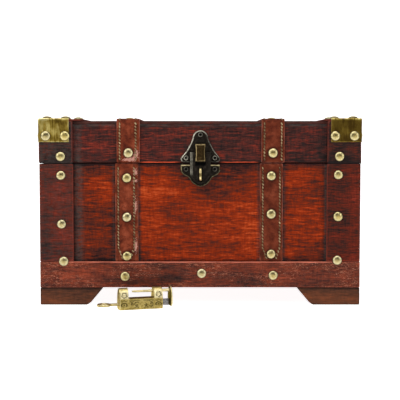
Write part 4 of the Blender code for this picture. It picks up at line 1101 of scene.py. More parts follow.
def build_tacks():
    """Tacks on posts, rails, corner plates and battens."""
    front, back, left, right = [], [], [], []
    for px, py in FRONT_TACKS:
        x, z = at_front(px, py)
        front.append(((x, FRONT, z), (0, -1, 0)))
        back.append(((x, BACK, z), (0, 1, 0)))
    side = RAIL_HIGH[X]
    for places, heights in (SIDE_POST_TACKS, SIDE_RAIL_TACKS):
        for y in places:
            for z in heights:
                left.append(((-side, MIDDLE_Y + y * MM, z * MM), (-1, 0, 0)))
                right.append(((side, MIDDLE_Y + y * MM, z * MM), (1, 0, 0)))
    tacks("case_tacks_front", front, "trunk_case")
    tacks("case_tacks_back", back, "trunk_case")
    tacks("case_tacks_left", left, "trunk_case")
    tacks("case_tacks_right", right, "trunk_case")
    build_lid_tacks()


# How far the solid plates' tack heads stand out of them, sideways and upwards
HEADS_OUT = 2.4 * MM
HEADS_UP = 2.0 * MM
# Two tacks for each face of a plate in mm: how far along the front, back along the side and across the top
PLATE_TACKS = ((7.1, 11, 8.0), (25.0, 23, 25.4))
PLATE_TACK_DROP = 16.5 * MM
PLATE_TACK_BACK = 5.9 * MM
STRIP_TACK_X = 130.2 * MM
STRIP_TACK_Y = 80 * MM
STRIP_TACK_Z = 139.4 * MM
# A batten's tacks: one counted from its inner corner, one from the lid's middle
BATTEN_END_TACK = (5.2 * MM, 6.5 * MM)
BATTEN_INNER_TACK = (140 * MM, 27 * MM)


def build_lid_tacks():
    """Two tacks on each face of a corner plate, one on each wing of a lid strip, and two on each end of a
    batten."""
    plates, strips = [], []
    for where in CORNERS:
        low, high = node_box(f"corner_plate_{where}")
        side, outer = outer_corner(low, high)
        outer = outer - side * HEADS_OUT
        top = high[Z] - HEADS_UP
        z = top - PLATE_TACK_DROP
        for along, back, above in np.array(PLATE_TACKS) * MM:
            plates.append(((outer[0] - side[0] * along, outer[1], z), (0, side[1], 0)))
            plates.append(((outer[0], outer[1] - side[1] * back, z), (side[0], 0, 0)))
            plates.append(((outer[0] - side[0] * above, outer[1] - side[1] * PLATE_TACK_BACK, top),
                           (0, 0, 1)))
        face = outer_corner(*node_box(f"lid_corner_strip_{where}"))[1]
        strips.append(((side[0] * STRIP_TACK_X, face[1], STRIP_TACK_Z), (0, side[1], 0)))
        strips.append(((face[0], MIDDLE_Y + side[1] * STRIP_TACK_Y, STRIP_TACK_Z), (side[0], 0, 0)))
        batten = node_box(f"top_batten_{where.split('_')[1]}")
        inner = batten[0][X] if side[0] > 0 else batten[1][X]
        x, y = inner + side[0] * BATTEN_END_TACK[0], outer[1] - side[1] * BATTEN_END_TACK[1]
        strips.append(((x, y, batten[1][Z]), (0, 0, 1)))
        x, y = side[0] * BATTEN_INNER_TACK[0], MIDDLE_Y + side[1] * BATTEN_INNER_TACK[1]
        strips.append(((x, y, batten[1][Z]), (0, 0, 1)))
    tacks("plate_tacks", plates, "lid", gold=0.9, scale=1.05)
    tacks("lid_tacks", strips, "lid")


# Brass corners

def sheet_skin(outer, inner):
    """A sheet from two grids of points, its two faces, joined all round their borders."""
    rows, columns = outer.shape[:2]
    index = np.arange(rows * columns).reshape(rows, columns)
    quads = np.stack([index[:-1, :-1], index[:-1, 1:], index[1:, 1:], index[1:, :-1]], -1).reshape(-1, 4)
    shift = rows * columns
    border = np.concatenate([index[0, :-1], index[:-1, -1], index[-1, :0:-1], index[:0:-1, 0]])
    onward = np.roll(border, -1)
    walls = np.stack([onward, border, border + shift, onward + shift], -1)
    faces = quads.tolist() + (quads[:, ::-1] + shift).tolist() + walls.tolist()
    return np.concatenate([outer.reshape(-1, 3), inner.reshape(-1, 3)]), faces


PLATE_REACH = 28.6 * MM
PLATE_BEND = 1.1 * MM
PLATE_KNEE = 1.0 * MM
PLATE_SHEET = 0.35 * MM
PLATE_WAVE = 0.35 * MM
PLATE_DENT = 0.12 * MM
# How tarnished the plates at the left and the right are
PLATE_TARNISH = (0.15, 0.9)


def plate_line(inward, level):
    """An L-shaped line at one level, counted inwards from the outer corner: along one side, round a knee
    that is a parabola, and along the other side."""
    curve = min(PLATE_KNEE, (PLATE_REACH - inward) * 0.4)
    t = np.linspace(0, 1, 5)[:, None]
    bend = np.array((inward, inward))
    knee = (1 - t) ** 2 * (bend + (curve, 0)) + 2 * t * (1 - t) * bend + t ** 2 * (bend + (0, curve))
    first = np.linspace((PLATE_REACH, inward), (inward + curve, inward), 15)[:-1]
    last = np.linspace((inward, inward + curve), (inward, PLATE_REACH), 15)[1:]
    plan = np.concatenate([first, knee, last])
    return np.column_stack([plan, np.full(len(plan), level)])


def build_plates():
    """Three-sided brass corners. Rows of an L-shaped line round the corner run up the two upright faces,
    turn over the top edge on a small round, and draw in over the top until they meet."""
    steps = np.linspace(0, math.pi / 2, 5)
    inset = np.concatenate([np.zeros(16), PLATE_BEND * (1 - np.cos(steps)),
                            np.linspace(PLATE_BEND, PLATE_REACH - 0.4 * MM, 16)[1:]])
    slope = np.minimum(inset / PLATE_BEND, 1) * math.pi / 2
    for number, where in enumerate(CORNERS):
        node = f"corner_plate_{where}"
        low, high = node_box(node)
        side, outer = outer_corner(low, high)
        outer = outer - side * HEADS_OUT
        bottom, top = low[Z], high[Z] - HEADS_UP
        height = np.concatenate([np.linspace(bottom, top - PLATE_BEND, 17)[:-1],
                                 top - PLATE_BEND + PLATE_BEND * np.sin(steps), np.full(15, top)])
        grids = [np.array([plate_line(*row) for row in
                           zip(inset + depth * np.cos(slope), height - depth * np.sin(slope))])
                 for depth in (0.0, PLATE_SHEET)]
        wave = PLATE_WAVE * ripple(grids[0], 91 + number, (20 * MM, 20 * MM, 50 * MM))
        fade = np.clip(1 - (grids[0][..., 2] - bottom) / (7 * MM), 0, 1)
        for grid in grids:
            grid[..., 2] += np.abs(wave) * fade
        dent = PLATE_DENT * (1 + ripple(grids[0], 95 + number, (12 * MM, 12 * MM, 16 * MM))) / 2
        for grid in grids:
            grid[..., 0] = outer[0] - side[0] * (grid[..., 0] + dent * (grid[..., 0] < 2 * MM))
            grid[..., 1] = outer[1] - side[1] * (grid[..., 1] + dent * (grid[..., 1] < 2 * MM))

        def paint(points):
            inward = (outer - points[:, :2]) * side
            edge = np.minimum(PLATE_REACH - inward.max(1), points[:, Z] - bottom)
            # A painted highlight along the top bend, taken off the tarnish.
            top_highlight = window(points[:, Z], top - 1.9 * MM, top + MM, 0.8 * MM)
            return {"edge": np.clip(edge, 0, 1), "tarnish_and_highlight": PLATE_TARNISH[int(side[0] > 0)] - 1.2 * top_highlight}
        make(f"brass_corner_{where}", [sheet_skin(*grids)], PLATE_BRASS, "lid", "brass", [node], sharp=50,
             paint=paint)


# Hasp

def sweep(centre, radius, start, end, steps):
    """Points on a circle between two angles in degrees, both included."""
    angle = np.radians(np.linspace(start, end, steps + 1))
    return np.stack([centre[0] + radius * np.cos(angle), centre[1] + radius * np.sin(angle)], 1)


def mirrored(half):
    """A whole outline from its right half, which runs from the top middle to the bottom middle."""
    return np.concatenate([half, (half * (-1, 1))[::-1][half[::-1, 0] > 0.2 * MM]])


def evenly(loop, spacing):
    """A closed outline's points spread evenly along it."""
    closed = np.concatenate([loop, loop[:1]])
    gone = np.concatenate([[0], np.cumsum(np.linalg.norm(np.diff(closed, axis=0), axis=1))])
    place = np.linspace(0, gone[-1], int(gone[-1] / spacing), endpoint=False)
    return np.stack([np.interp(place, gone, closed[:, 0]), np.interp(place, gone, closed[:, 1])], 1)


RIM_RISE = 1.0 * MM
FIELD_RISE = 0.55 * MM
FIELD_RIPPLE = 0.10 * MM
# A plate's rings from its back over its rim to its field: how far in from the outline in mm, and how high
RIM_RINGS = ((0, 0), (0, RIM_RISE * 0.7), (0.15, RIM_RISE * 0.93), (0.35, RIM_RISE), (0.75, RIM_RISE),
             (1.0, RIM_RISE * 0.93), (1.25, FIELD_RISE + 0.08 * MM), (1.6, FIELD_RISE))
FIELD_SHARES = (0.86, 0.72, 0.58, 0.44, 0.30, 0.16, 0.04)
# How bright each ring is rubbed, from the back to the centre
RINGS_RUBBED = np.array([0.0, 0.3, 0.8, 1.0, 1.0, 0.6, 0.1] + [0.0] * 8)


def medal(name, outline, centre, place, node, body, lit, least, seed, metal):
    """A stamped plate: its outline carried in and up over a raised rim, down to a field that runs to the
    centre. The outline is in the plane of the front; place is where its origin lies and where the plate's
    back is. The rim is rubbed bright, and a painted highlight makes it brightest where it faces the lit
    direction and where it faces up, and at least as much as least elsewhere."""
    loop = anticlockwise(evenly(outline, 0.55 * MM))
    normal = outward(loop)
    rings = [np.column_stack([loop - normal * inset * MM, np.full(len(loop), out)])
             for inset, out in RIM_RINGS]
    last = rings[-1][:, :2]
    for share in FIELD_SHARES:
        rings.append(np.column_stack([centre + (last - centre) * share, np.full(len(loop), FIELD_RISE)]))
    rings = np.array(rings)
    rings[6:, :, 2] += FIELD_RIPPLE * ripple(rings[6:], seed, (9 * MM, 9 * MM, 1))
    # Painted highlight: the rim is brightest where it faces the lit direction and where it faces up.
    facing = np.clip(normal @ np.array(lit) / np.linalg.norm(lit), 0, 1)
    facing = least + (1 - least) * np.maximum(facing, 0.8 * np.clip(normal[:, 1], 0, 1) ** 2)
    rim = RINGS_RUBBED[:, None] * facing
    placed = np.stack([place[X] + rings[..., 0], place[Y] - rings[..., 2], place[Z] + rings[..., 1]], -1)
    make(name, [closed_skin(placed)], metal, body, "old_bronze", [node], sharp=60,
         paint=lambda points: {"rim": rim.ravel()})


def bell_outline():
    """A round crown, sides that flare out to the shoulders, rounded lower corners and a flat base at 0."""
    crown = sweep((0, 22.5 * MM), 7.3 * MM, 90, 0, 14)
    lower_corner = sweep((15.4 * MM, 3.0 * MM), 3.0 * MM, 30, -90, 12)
    flare = [(8.3 * MM, 19.5 * MM), (12.6 * MM, 11.2 * MM)]
    return mirrored(np.concatenate([crown, flare, lower_corner]))


# The shield's right half in mm, from the middle of its top edge to its point
SHIELD_HALF = ((0, 0), (17.9, 0), (18.3, -0.3), (18.4, -0.9), (18.4, -4.6), (18.1, -6.2), (17.3, -7.7),
               (16.0, -9.1), (14.4, -10.1), (12.7, -10.8), (11.3, -11.6), (10.3, -12.7), (9.6, -14.0),
               (8.6, -15.6), (7.2, -17.1), (5.4, -18.5), (3.4, -19.6), (1.5, -20.3), (0, -20.5))


def shield_outline():
    """A flat top at 0, straight sides, a round step in on each side, then a pointed end with bowed
    sides."""
    return mirrored(np.array(SHIELD_HALF) * MM)


def stamped(solid, front, back):
    """A flat piece made of the cells of a grid that are solid: its front and back points, and a wall
    wherever a solid cell has none beside it."""
    height, width = front.shape[:2]
    index = np.arange(height * width).reshape(height, width)
    shift = height * width
    cells = np.stack([index[:-1, :-1], index[:-1, 1:], index[1:, 1:], index[1:, :-1]], -1)
    quads = cells[solid]
    faces = quads.tolist() + (quads[:, ::-1] + shift).tolist()
    ringed = np.pad(solid, 1)
    for corner, (down, right) in enumerate(((-1, 0), (0, 1), (1, 0), (0, -1))):
        beside = ringed[1 + down:ringed.shape[0] - 1 + down, 1 + right:ringed.shape[1] - 1 + right]
        edge = cells[solid & ~beside]
        first, second = edge[:, corner], edge[:, (corner + 1) % 4]
        faces += np.stack([second, first, first + shift, second + shift], -1).tolist()
    points = np.concatenate([front.reshape(-1, 3), back.reshape(-1, 3)])
    used = np.unique(np.concatenate([np.ravel(face) for face in faces]))
    fresh = np.full(len(points), -1)
    fresh[used] = np.arange(len(used))
    return points[used], fresh[np.array(faces)].tolist()


FLAP_LENGTH = 28.5 * MM
FLAP_HALF = 9.6 * MM
FLAP_TAPER_FROM = 17.5 * MM
FLAP_TAPER = 11 * MM
WINDOW_HALF = 5.2 * MM
WINDOW_END = 8.8 * MM
SLOT_HALF = 1.9 * MM
SLOT_START = 12.9 * MM
SLOT_END = 26.1 * MM
KNUCKLE_RADIUS = 1.6 * MM
KNUCKLE_X = 5.3 * MM
FLAP_FACE = 0.9 * MM
FLAP_SUNK = 0.35 * MM
FLAP_EDGE_DROP = 0.30 * MM
# The flap's grid in mm: how far its columns are from its middle, and how far its rows are below the pin
FLAP_COLUMNS = (0.9, 1.9, 2.3, 3.0, 4.2, 5.2, 5.6, 6.6, 7.5, 7.9, 8.3, 8.7, 9.2, 9.5, 9.6)
FLAP_ROWS = np.concatenate([np.linspace(0, 8.8, 12), np.linspace(9.4, 12.3, 5), [12.9],
                            np.linspace(13.8, 25.2, 18), [26.1, 26.6, 27.1, 27.6, 28.0, 28.3, 28.45]])
# A knuckle's profile in mm: its radius, and how far along the pin
KNUCKLE_PROFILE = ((0.2, 0), (1.25, 0), (1.5, 0.12), (1.6, 0.4), (1.6, 4.0), (1.5, 4.28), (1.25, 4.4),
                   (0.2, 4.4))


def flap_half(drop):
    """Half the flap's width by how far below the pin it is: full, then drawn in along a cosine to its
    tip."""
    taper = np.clip((drop - FLAP_TAPER_FROM) / FLAP_TAPER, 0, 1)
    return FLAP_HALF * np.clip(np.cos(taper * math.pi / 2) ** 0.8, 0.12, 1)


def build_flap():
    """The flap: cells of a grid whose columns draw in towards the tip, less the window above and the slot,
    with a raised rim, and a knuckle round the pin at the top of each arm."""
    low = node_box("hasp_flap")[0]
    pin_z, pin_y = low[Z] + FLAP_LENGTH, low[Y] + KNUCKLE_RADIUS
    right = np.array(FLAP_COLUMNS) * MM
    columns = np.concatenate([-right[::-1], [0], right])
    drops = FLAP_ROWS * MM
    width = flap_half(drops)
    inner = np.minimum(SLOT_HALF, 0.45 * width)
    from_middle = np.abs(columns)
    beyond = np.clip(from_middle - SLOT_HALF, 0, None) * ((width - inner) / (FLAP_HALF - SLOT_HALF))[:, None]
    x = np.sign(columns) * (np.minimum(from_middle, SLOT_HALF) * (inner / SLOT_HALF)[:, None] + beyond)
    z = np.repeat(-drops[:, None], len(columns), 1)
    cell_x = np.abs(columns[:-1] + columns[1:]) / 2
    cell_drop = (drops[:-1] + drops[1:])[:, None] / 2
    gap = (cell_x < WINDOW_HALF) & (cell_drop < WINDOW_END)
    gap |= (cell_x < SLOT_HALF) & (cell_drop > SLOT_START) & (cell_drop < SLOT_END)
    from_edge = np.minimum(width[:, None] - np.abs(x), (z + FLAP_LENGTH) * 1.2)
    sunk = smooth_step(from_edge, 1.3 * MM, 1.9 * MM)
    rounded_off = 1 - smooth_step(from_edge, -0.01 * MM, 0.45 * MM)
    face = pin_y - FLAP_FACE + FLAP_SUNK * sunk + FLAP_EDGE_DROP * rounded_off
    front = np.stack([HASP_X + x, face, pin_z + z], -1)
    back = np.stack([HASP_X + x, np.full_like(x, pin_y + 0.1 * MM), pin_z + z], -1)
    skins = [stamped(~gap, front, back)]
    knuckle = np.array(KNUCKLE_PROFILE) * MM
    for side in (-1, 1):
        skins.append(turned(knuckle, (HASP_X + side * KNUCKLE_X, pin_y, pin_z), (side, 0, 0), 28))

    def paint(points):
        across = np.abs(points[:, X] - HASP_X)
        drop = pin_z - points[:, Z]
        rim = window(flap_half(drop) - across, -0.4 * MM, 3.0 * MM, 0.7 * MM)
        # The left side of the rim is painted brighter than the right: rubbed wear with a painted highlight
        # from the left.
        rim *= np.where(points[:, X] < HASP_X, 0.34, 0.05) * (1 - smooth_step(drop, 19 * MM, 22.5 * MM))
        # A painted shadow of the bridge across the flap just under its window.
        shade = window(drop, 8.0 * MM, 11.6 * MM, 0.8 * MM) * (1 - smooth_step(across, 4.6 * MM, 5.6 * MM))
        return {"rim": rim - shade}
    make("slotted_flap", skins, BRONZE, "hasp_flap", "old_bronze", ["hasp_flap"], sharp=40, paint=paint)


BRIDGE_RISE = 9.4 * MM
BRIDGE_HALF = 4.6 * MM
BRIDGE_WAIST = 0.55 * MM
BRIDGE_ROUND = 1.4 * MM
PIN_RADIUS = 0.7 * MM


def build_bridge():
    """The raised strap on the bell plate: a rounded section carried up it. Half a sine wave draws its sides
    in, and at both ends it goes back into the plate along a quarter circle."""
    low, high = node_box("hasp_upper_plate")
    back, front = high[Y] - 0.4 * MM, low[Y]
    bottom, top = low[Z] + 0.35 * MM, node_box("hasp_pin")[0][Z] + PIN_RADIUS + BRIDGE_RISE
    turn = np.linspace(0, math.pi / 2, 7)
    z = np.concatenate([bottom + BRIDGE_ROUND * (1 - np.cos(turn)),
                        np.linspace(bottom + BRIDGE_ROUND, top - BRIDGE_ROUND, 16)[1:-1],
                        top - BRIDGE_ROUND * (1 - np.sin(turn))])
    to_end = np.minimum(z - bottom, top - z)
    end = np.clip(to_end / BRIDGE_ROUND, 0, 1)
    out = (back - front) * np.sqrt(np.clip(1 - (1 - end) ** 2, 0.02, 1))
    half = BRIDGE_HALF - BRIDGE_WAIST * np.sin(math.pi * (z - bottom) / (top - bottom))
    face = np.linspace(-1, 1, 21)
    section = np.concatenate([np.stack([face, 1 - 0.10 * face ** 4], 1), [(1, 0.0), (-1, 0.0)]])
    across, crown = section.T
    rings = np.stack([HASP_X + across * half[:, None], back - crown * out[:, None],
                      np.repeat(z[:, None], len(section), 1)], -1)
    # Its edges are painted bright, the left more than the right and the top end more than the bottom: rubbed
    # wear with a painted highlight from the upper left.
    side = np.clip((np.abs(across) - 0.78) / 0.12, 0, 1) * (crown > 0.5) * np.where(across < 0, 1, 0.45)
    ends = np.where(z > (bottom + top) / 2, 0.8, 0.5) * (1 - smooth_step(to_end, 0.8 * MM, 1.9 * MM))
    rim = np.maximum(side, ends[:, None])
    make("hasp_bridge", [closed_skin(rings)], BRIDGE_BRONZE, "lid", "old_bronze", sharp=45,
         paint=lambda points: {"rim": rim.ravel()})


STAPLE_HALF = 1.1 * MM
STAPLE_BEND = 1.9 * MM
STAPLE_LEG = 3 * MM


def build_staple():
    """The staple: a rounded section carried out of the panel, round a small bend, down, and back in."""
    low, high = node_box("staple")
    bend, start = STAPLE_BEND, high[Y]
    turn = np.linspace(0, math.pi / 2, 8)
    reach, bottom, top = low[Y] + STAPLE_HALF, low[Z] + STAPLE_HALF, high[Z] - STAPLE_HALF
    front = np.linspace(bottom + bend, top - bend, 11)[1:-1]
    y = np.concatenate([[start, start - STAPLE_LEG], reach + bend - bend * np.sin(turn), 0 * front + reach,
                        reach + bend - bend * np.cos(turn), [start - STAPLE_LEG, start]])
    z = np.concatenate([[bottom, bottom], bottom + bend - bend * np.cos(turn), front,
                        top - bend + bend * np.sin(turn), [top, top]])
    out_y = np.concatenate([[0, 0], -np.sin(turn), 0 * front - 1, -np.cos(turn), [0, 0]])
    out_z = np.concatenate([[-1, -1], -np.cos(turn), 0 * front, np.sin(turn), [1, 1]])
    path = np.stack([0 * y + (low[X] + high[X]) / 2, y, z], 1)
    out = np.stack([0 * y, out_y, out_z], 1)
    across = np.repeat([SIDEWAYS], len(path), 0)
    corners = rectangle((-STAPLE_HALF, -STAPLE_HALF), (STAPLE_HALF, STAPLE_HALF))
    section = rounded_loop(corners, 1.0 * MM, 0.5 * MM, 5)

    def paint(points):
        from_middle = np.abs(points[:, Z] - (bottom + top) / 2 + 0.4 * MM)
        return {"rim": 0.25 + 0.75 * smooth_step(from_middle, 1.2 * MM, 2.6 * MM)}
    make("staple_loop", [tube(path, across, out, section)], STAPLE_BRASS, "trunk_case", "brass", ["staple"],
         paint=paint)


# A hasp screw's profile in mm as (radius, height), and how bright it is rubbed there
SCREW_PROFILE = ((0.1, -0.3), (2.2, -0.3), (2.3, 0.0), (2.2, 0.45), (1.95, 0.75), (1.6, 0.9), (1.35, 0.82),
                 (1.15, 0.45), (0.95, 0.32), (0.1, 0.30))
SCREW_RUBBED = np.array([0, 0.1, 0.2, 0.35, 0.45, 0.5, 0.35, -0.8, -0.9, -0.9])
SCREW_SIDES = 30
SCREW_HEAD = 1.1 * MM
# The hasp's screws: node, body, and how strongly they catch the light
HASP_SCREWS = (("hasp_screw_top", "lid", 0.7), ("hasp_screw_upper_left", "lid", 1.3),
               ("hasp_screw_upper_right", "lid", 0.7), ("hasp_screw_lower_left", "trunk_case", 0.45),
               ("hasp_screw_lower_right", "trunk_case", 0.45))


def build_screws():
    """Screw heads: a raised ring round a dark hollow."""
    profile = np.array(SCREW_PROFILE) * MM
    for node, body, light in HASP_SCREWS:
        low, high = node_box(node)
        seat = ((low[X] + high[X]) / 2, low[Y] + SCREW_HEAD, (low[Z] + high[Z]) / 2)
        # Screws that catch more light get a brighter ring: a painted highlight on the rubbed ring.
        rim = np.repeat(np.where(SCREW_RUBBED > 0, SCREW_RUBBED * light, SCREW_RUBBED), SCREW_SIDES)
        make(f"{node}_head", [turned(profile, seat, (0, -1, 0), SCREW_SIDES)], BRONZE, body, "old_bronze",
             [node], sharp=50, paint=lambda points: {"rim": rim})


def build_hasp():
    """Both plates, the bridge, the flap, the staple and the screws."""
    base = node_box("hasp_upper_plate")[0][Z]
    back, shield_top = node_box("hasp_lower_plate")[1][1:]
    medal("bell_plate", bell_outline(), np.array((0, 9 * MM)), (HASP_X, back, base),
          "hasp_upper_plate", "lid", (-0.9, 0.45), 0.20, 6, BRONZE)
    medal("shield_plate", shield_outline(), np.array((0, -8 * MM)), (HASP_X, back, shield_top),
          "hasp_lower_plate", "trunk_case", (-0.35, 0.9), 0.30, 7, GOLDEN_BRONZE)
    build_bridge()
    build_flap()
    build_staple()
    build_screws()


# Padlock

LOCK_TURN = math.radians(17)
LOCK_HALF = 20.25 * MM
LOCK_SIDE = 6.0 * MM
EAR_WIDTH = 8.3 * MM
EAR_TOP = 20.0 * MM
BEAM_TOP = 10.4 * MM
ROD_RISE = 16.4 * MM
ROD_TIP = -7.75 * MM
PLATE_LEFT = 27.75 * MM
PLATE_RIGHT = 29.55 * MM
PLATE_LOW = 1.9 * MM
SPRING_LEFT = PLATE_LEFT - 24 * MM
KEY_RISE = 5.0 * MM
BOW_X = -33.65 * MM
LOCK_LOW, LOCK_HIGH = node_box("padlock_case")
LOCK_CENTRE = (LOCK_LOW + LOCK_HIGH) / 2


def on_lock(points):
    """Places counted from under the padlock's middle, with X along it, turned and moved to where it
    stands."""
    c, s = math.cos(LOCK_TURN), math.sin(LOCK_TURN)
    x, y, z = np.moveaxis(np.asarray(points, float), -1, 0)
    return np.stack([LOCK_CENTRE[X] + c * x - s * y, LOCK_CENTRE[Y] + s * x + c * y, z], -1)


LOCK_STEP = 0.36 * MM
LOCK_FOOT = 2.5 * MM
LOCK_WAIST = 8.6 * MM
BEAM_ROUND = 0.6 * MM


def lock_section(low, top, ear, step=LOCK_STEP):
    """The padlock's end outline from its right foot round to its left: foot, side up to the beam's top,
    then either over the ear in half an ellipse, or straight across the beam. Both kinds have the same
    number of points."""
    side = np.arange(low + LOCK_FOOT + step, BEAM_TOP - 0.2 * MM, step)
    half = [np.stack([np.linspace(0, LOCK_SIDE - LOCK_FOOT, 6)[:-1], np.full(5, low)], 1),
            sweep((LOCK_SIDE - LOCK_FOOT, low + LOCK_FOOT), LOCK_FOOT, -90, 0, 7),
            np.stack([np.full(len(side), LOCK_SIDE), side], 1)]
    if ear:
        rise = top - LOCK_WAIST
        turn = np.linspace(math.asin((BEAM_TOP - LOCK_WAIST) / rise), math.pi / 2, 33)
        half += [np.stack([LOCK_SIDE * np.cos(turn) / math.cos(turn[0]),
                           LOCK_WAIST + rise * np.sin(turn)], 1)]
    else:
        corner = sweep((LOCK_SIDE - BEAM_ROUND, BEAM_TOP - BEAM_ROUND), BEAM_ROUND, 0, 90, 5)
        across = np.linspace(LOCK_SIDE - BEAM_ROUND, 0.8 * MM, 28)[1:]
        half += [corner, np.stack([across, np.full(27, BEAM_TOP)], 1)]
    half = np.concatenate(half)
    return np.concatenate([half, (half * (-1, 1))[:0:-1]])


def squared(loop, low, high):
    """An outline's points moved straight towards a rectangle's centre until they lie on the rectangle."""
    centre, half = (np.array(low) + high) / 2, (np.array(high) - low) / 2
    away = loop - centre
    return centre + away / np.max(np.abs(away) / half, axis=1)[:, None]


# The engraving is worked out in mm, along the padlock from its middle and up from the floor
CURL_PITCH = 4.6
CURL_START = 2.2
CURL_RISE = 5.3
FLOWER_X = 16.1
FLOWER_RISE = 13.6
LEAF_RISE = 4.9


def groove(away, width):
    """A groove's depth, 0 to 1, by how far a place is from its middle line: a bell curve."""
    return np.exp(-(away / width) ** 2)


def curls(x, z):
    """The beam's engraving: two fields of two curls each, spirals round an eye that turn up and down in
    turn, each beside a waving stem, between a line above and a line below."""
    along = np.abs(x) - CURL_START
    field = window(along, 0, 2 * CURL_PITCH, 0.6)
    bow = np.floor(along / CURL_PITCH)
    turned_up = np.where(bow % 2 == 0, 1.0, -1.0)
    across, up = along - CURL_PITCH * (bow + 0.5), (z - CURL_RISE) * turned_up
    from_eye, angle = np.hypot(across, up), np.arctan2(up, across)
    spiral = from_eye - 1.15 - 0.36 * (angle + math.pi / 2) * np.sign(x) * -turned_up
    curl = np.maximum(groove(spiral, 0.42), groove(from_eye, 0.5)) * field * (from_eye < 2.6)
    stem = groove(up + 2.5 - 0.5 * np.cos(1.4 * across), 0.40) * field
    lines = (groove(z - 1.8, 0.30) + groove(z - 9.0, 0.30)) * window(np.abs(x), 1.6, 11.8, 0.3)
    return np.maximum.reduce([curl, 0.9 * stem, 0.8 * lines])


def flowers(x, z):
    """The ears' engraving: on each ear a flower of five petals, a bowed line under it, and a leaf round an
    eye."""
    beside = np.abs(x) - FLOWER_X
    away, angle = np.hypot(beside, z - FLOWER_RISE), np.arctan2(z - FLOWER_RISE, beside)
    petals = groove(away - 1.5 - 0.8 * np.abs(np.cos(2.5 * angle + 0.6)), 0.42)
    line = groove(z - 8.6 - 0.6 * np.cos(2 * beside), 0.40) * window(np.abs(x), 13.0, 19.2, 0.4)
    from_leaf = np.hypot(beside * 0.75, z - LEAF_RISE)
    leaf = groove(from_leaf - 1.9, 0.42) * (z > 3.9) + groove(from_leaf, 0.6)
    return np.maximum.reduce([petals, 0.8 * line, leaf]) * (np.abs(x) > 12.4)


def engraving(x, z):
    """How deep the engraving is, 0 to 1, at places in metres."""
    x, z = x / MM, z / MM
    return np.clip(np.maximum(curls(x, z), flowers(x, z)), 0, 1)


def rounded_end(x, way, loop, width, steps=5):
    """Rings that round an end off by a quarter circle. Way is 1 where the piece goes on towards +X from
    here."""
    turn = np.linspace(0, math.pi / 2, steps)
    return [np.column_stack([np.full(len(loop), x + way * width * (1 - math.sin(angle))),
                             loop - outward(loop) * width * (1 - math.cos(angle))]) for angle in turn[::-way]]


def flat_rings(loop, *places):
    """The same outline at several places along the padlock."""
    return [np.column_stack([np.full(len(loop), x), loop]) for x in places]


# The key's slot and the spring's channel as rectangles in the padlock's ends, and how deep they go
KEY_SLOT = ((-2.9 * MM, 3.5 * MM), (2.9 * MM, 6.5 * MM))
KEY_SLOT_DEPTH = 4 * MM
CHANNEL = ((-4.0 * MM, 2.0 * MM), (4.0 * MM, 9.0 * MM))
CHANNEL_DEPTH = 27 * MM
LEFT_ROUND = 0.8 * MM
RIGHT_ROUND = 0.5 * MM
ENGRAVING_DEPTH = 0.30 * MM


def build_lock_case():
    """The case: its end outline carried along it, low over the beam and high over the ears, with the faces
    turned in at both ends to the key's slot and the spring's channel, and the engraving pressed into both
    sides."""
    ear, beam = lock_section(0, EAR_TOP, True), lock_section(0, BEAM_TOP, False)
    slot, channel = squared(ear, *KEY_SLOT), squared(ear, *CHANNEL)
    left, right, inner = -LOCK_HALF, LOCK_HALF, LOCK_HALF - EAR_WIDTH
    rings = flat_rings(slot, left + KEY_SLOT_DEPTH, left) + rounded_end(left, 1, ear, LEFT_ROUND, 7)
    rings += flat_rings(ear, *np.arange(left + LEFT_ROUND + LOCK_STEP, -inner - LOCK_STEP / 2, LOCK_STEP))
    rings += flat_rings(ear, -inner) + flat_rings(beam, *np.linspace(-inner, inner, 67))
    rings += flat_rings(ear, inner, *np.arange(inner + LOCK_STEP, right - RIGHT_ROUND, LOCK_STEP))
    rings += rounded_end(right, -1, ear, RIGHT_ROUND) + flat_rings(channel, right, right - CHANNEL_DEPTH)
    rings = np.array(rings)
    x, y, z = np.moveaxis(rings, -1, 0)
    depth = engraving(x, z) * smooth_step(np.abs(y), 1.6 * MM, 2.6 * MM)
    depth[:2], depth[-2:] = 0, 0
    rings[..., Y] -= np.sign(y) * ENGRAVING_DEPTH * depth
    make("lock_case", [closed_skin(on_lock(rings))], LOCK_BRASS, "padlock", "lock_brass", ["padlock_case"],
         sharp=50, paint=lambda points: {"hollow_and_shade": depth.ravel(), "rubbed_and_lit": rubbed_and_lit_ears(x, z).ravel()})


def rubbed_and_lit_ears(x, z):
    """The ears are painted pale above the beam, partly rubbed wear and partly a highlight where their faces
    catch the light, less over their tops, and not at the case's left end.
    """
    ears = smooth_step(z, BEAM_TOP - 0.6 * MM, BEAM_TOP + 0.8 * MM) * (np.abs(x) > LOCK_HALF - EAR_WIDTH - MM)
    ears *= 1 - 0.85 * smooth_step(z, EAR_TOP - 4.0 * MM, EAR_TOP - 1.2 * MM)
    return np.where(x > -LOCK_HALF + 0.6 * MM, ears, 0.35)


# The rod's tip in mm as (radius, distance from its point), and its radius behind the tip and at the plate
ROD_DOME = ((0.1, 0), (0.4, 0.1), (0.68, 0.4), (0.82, 0.9))
ROD_RADIUS = (0.95, 1.5)
ROD_TAPER_FROM = 2.2 * MM


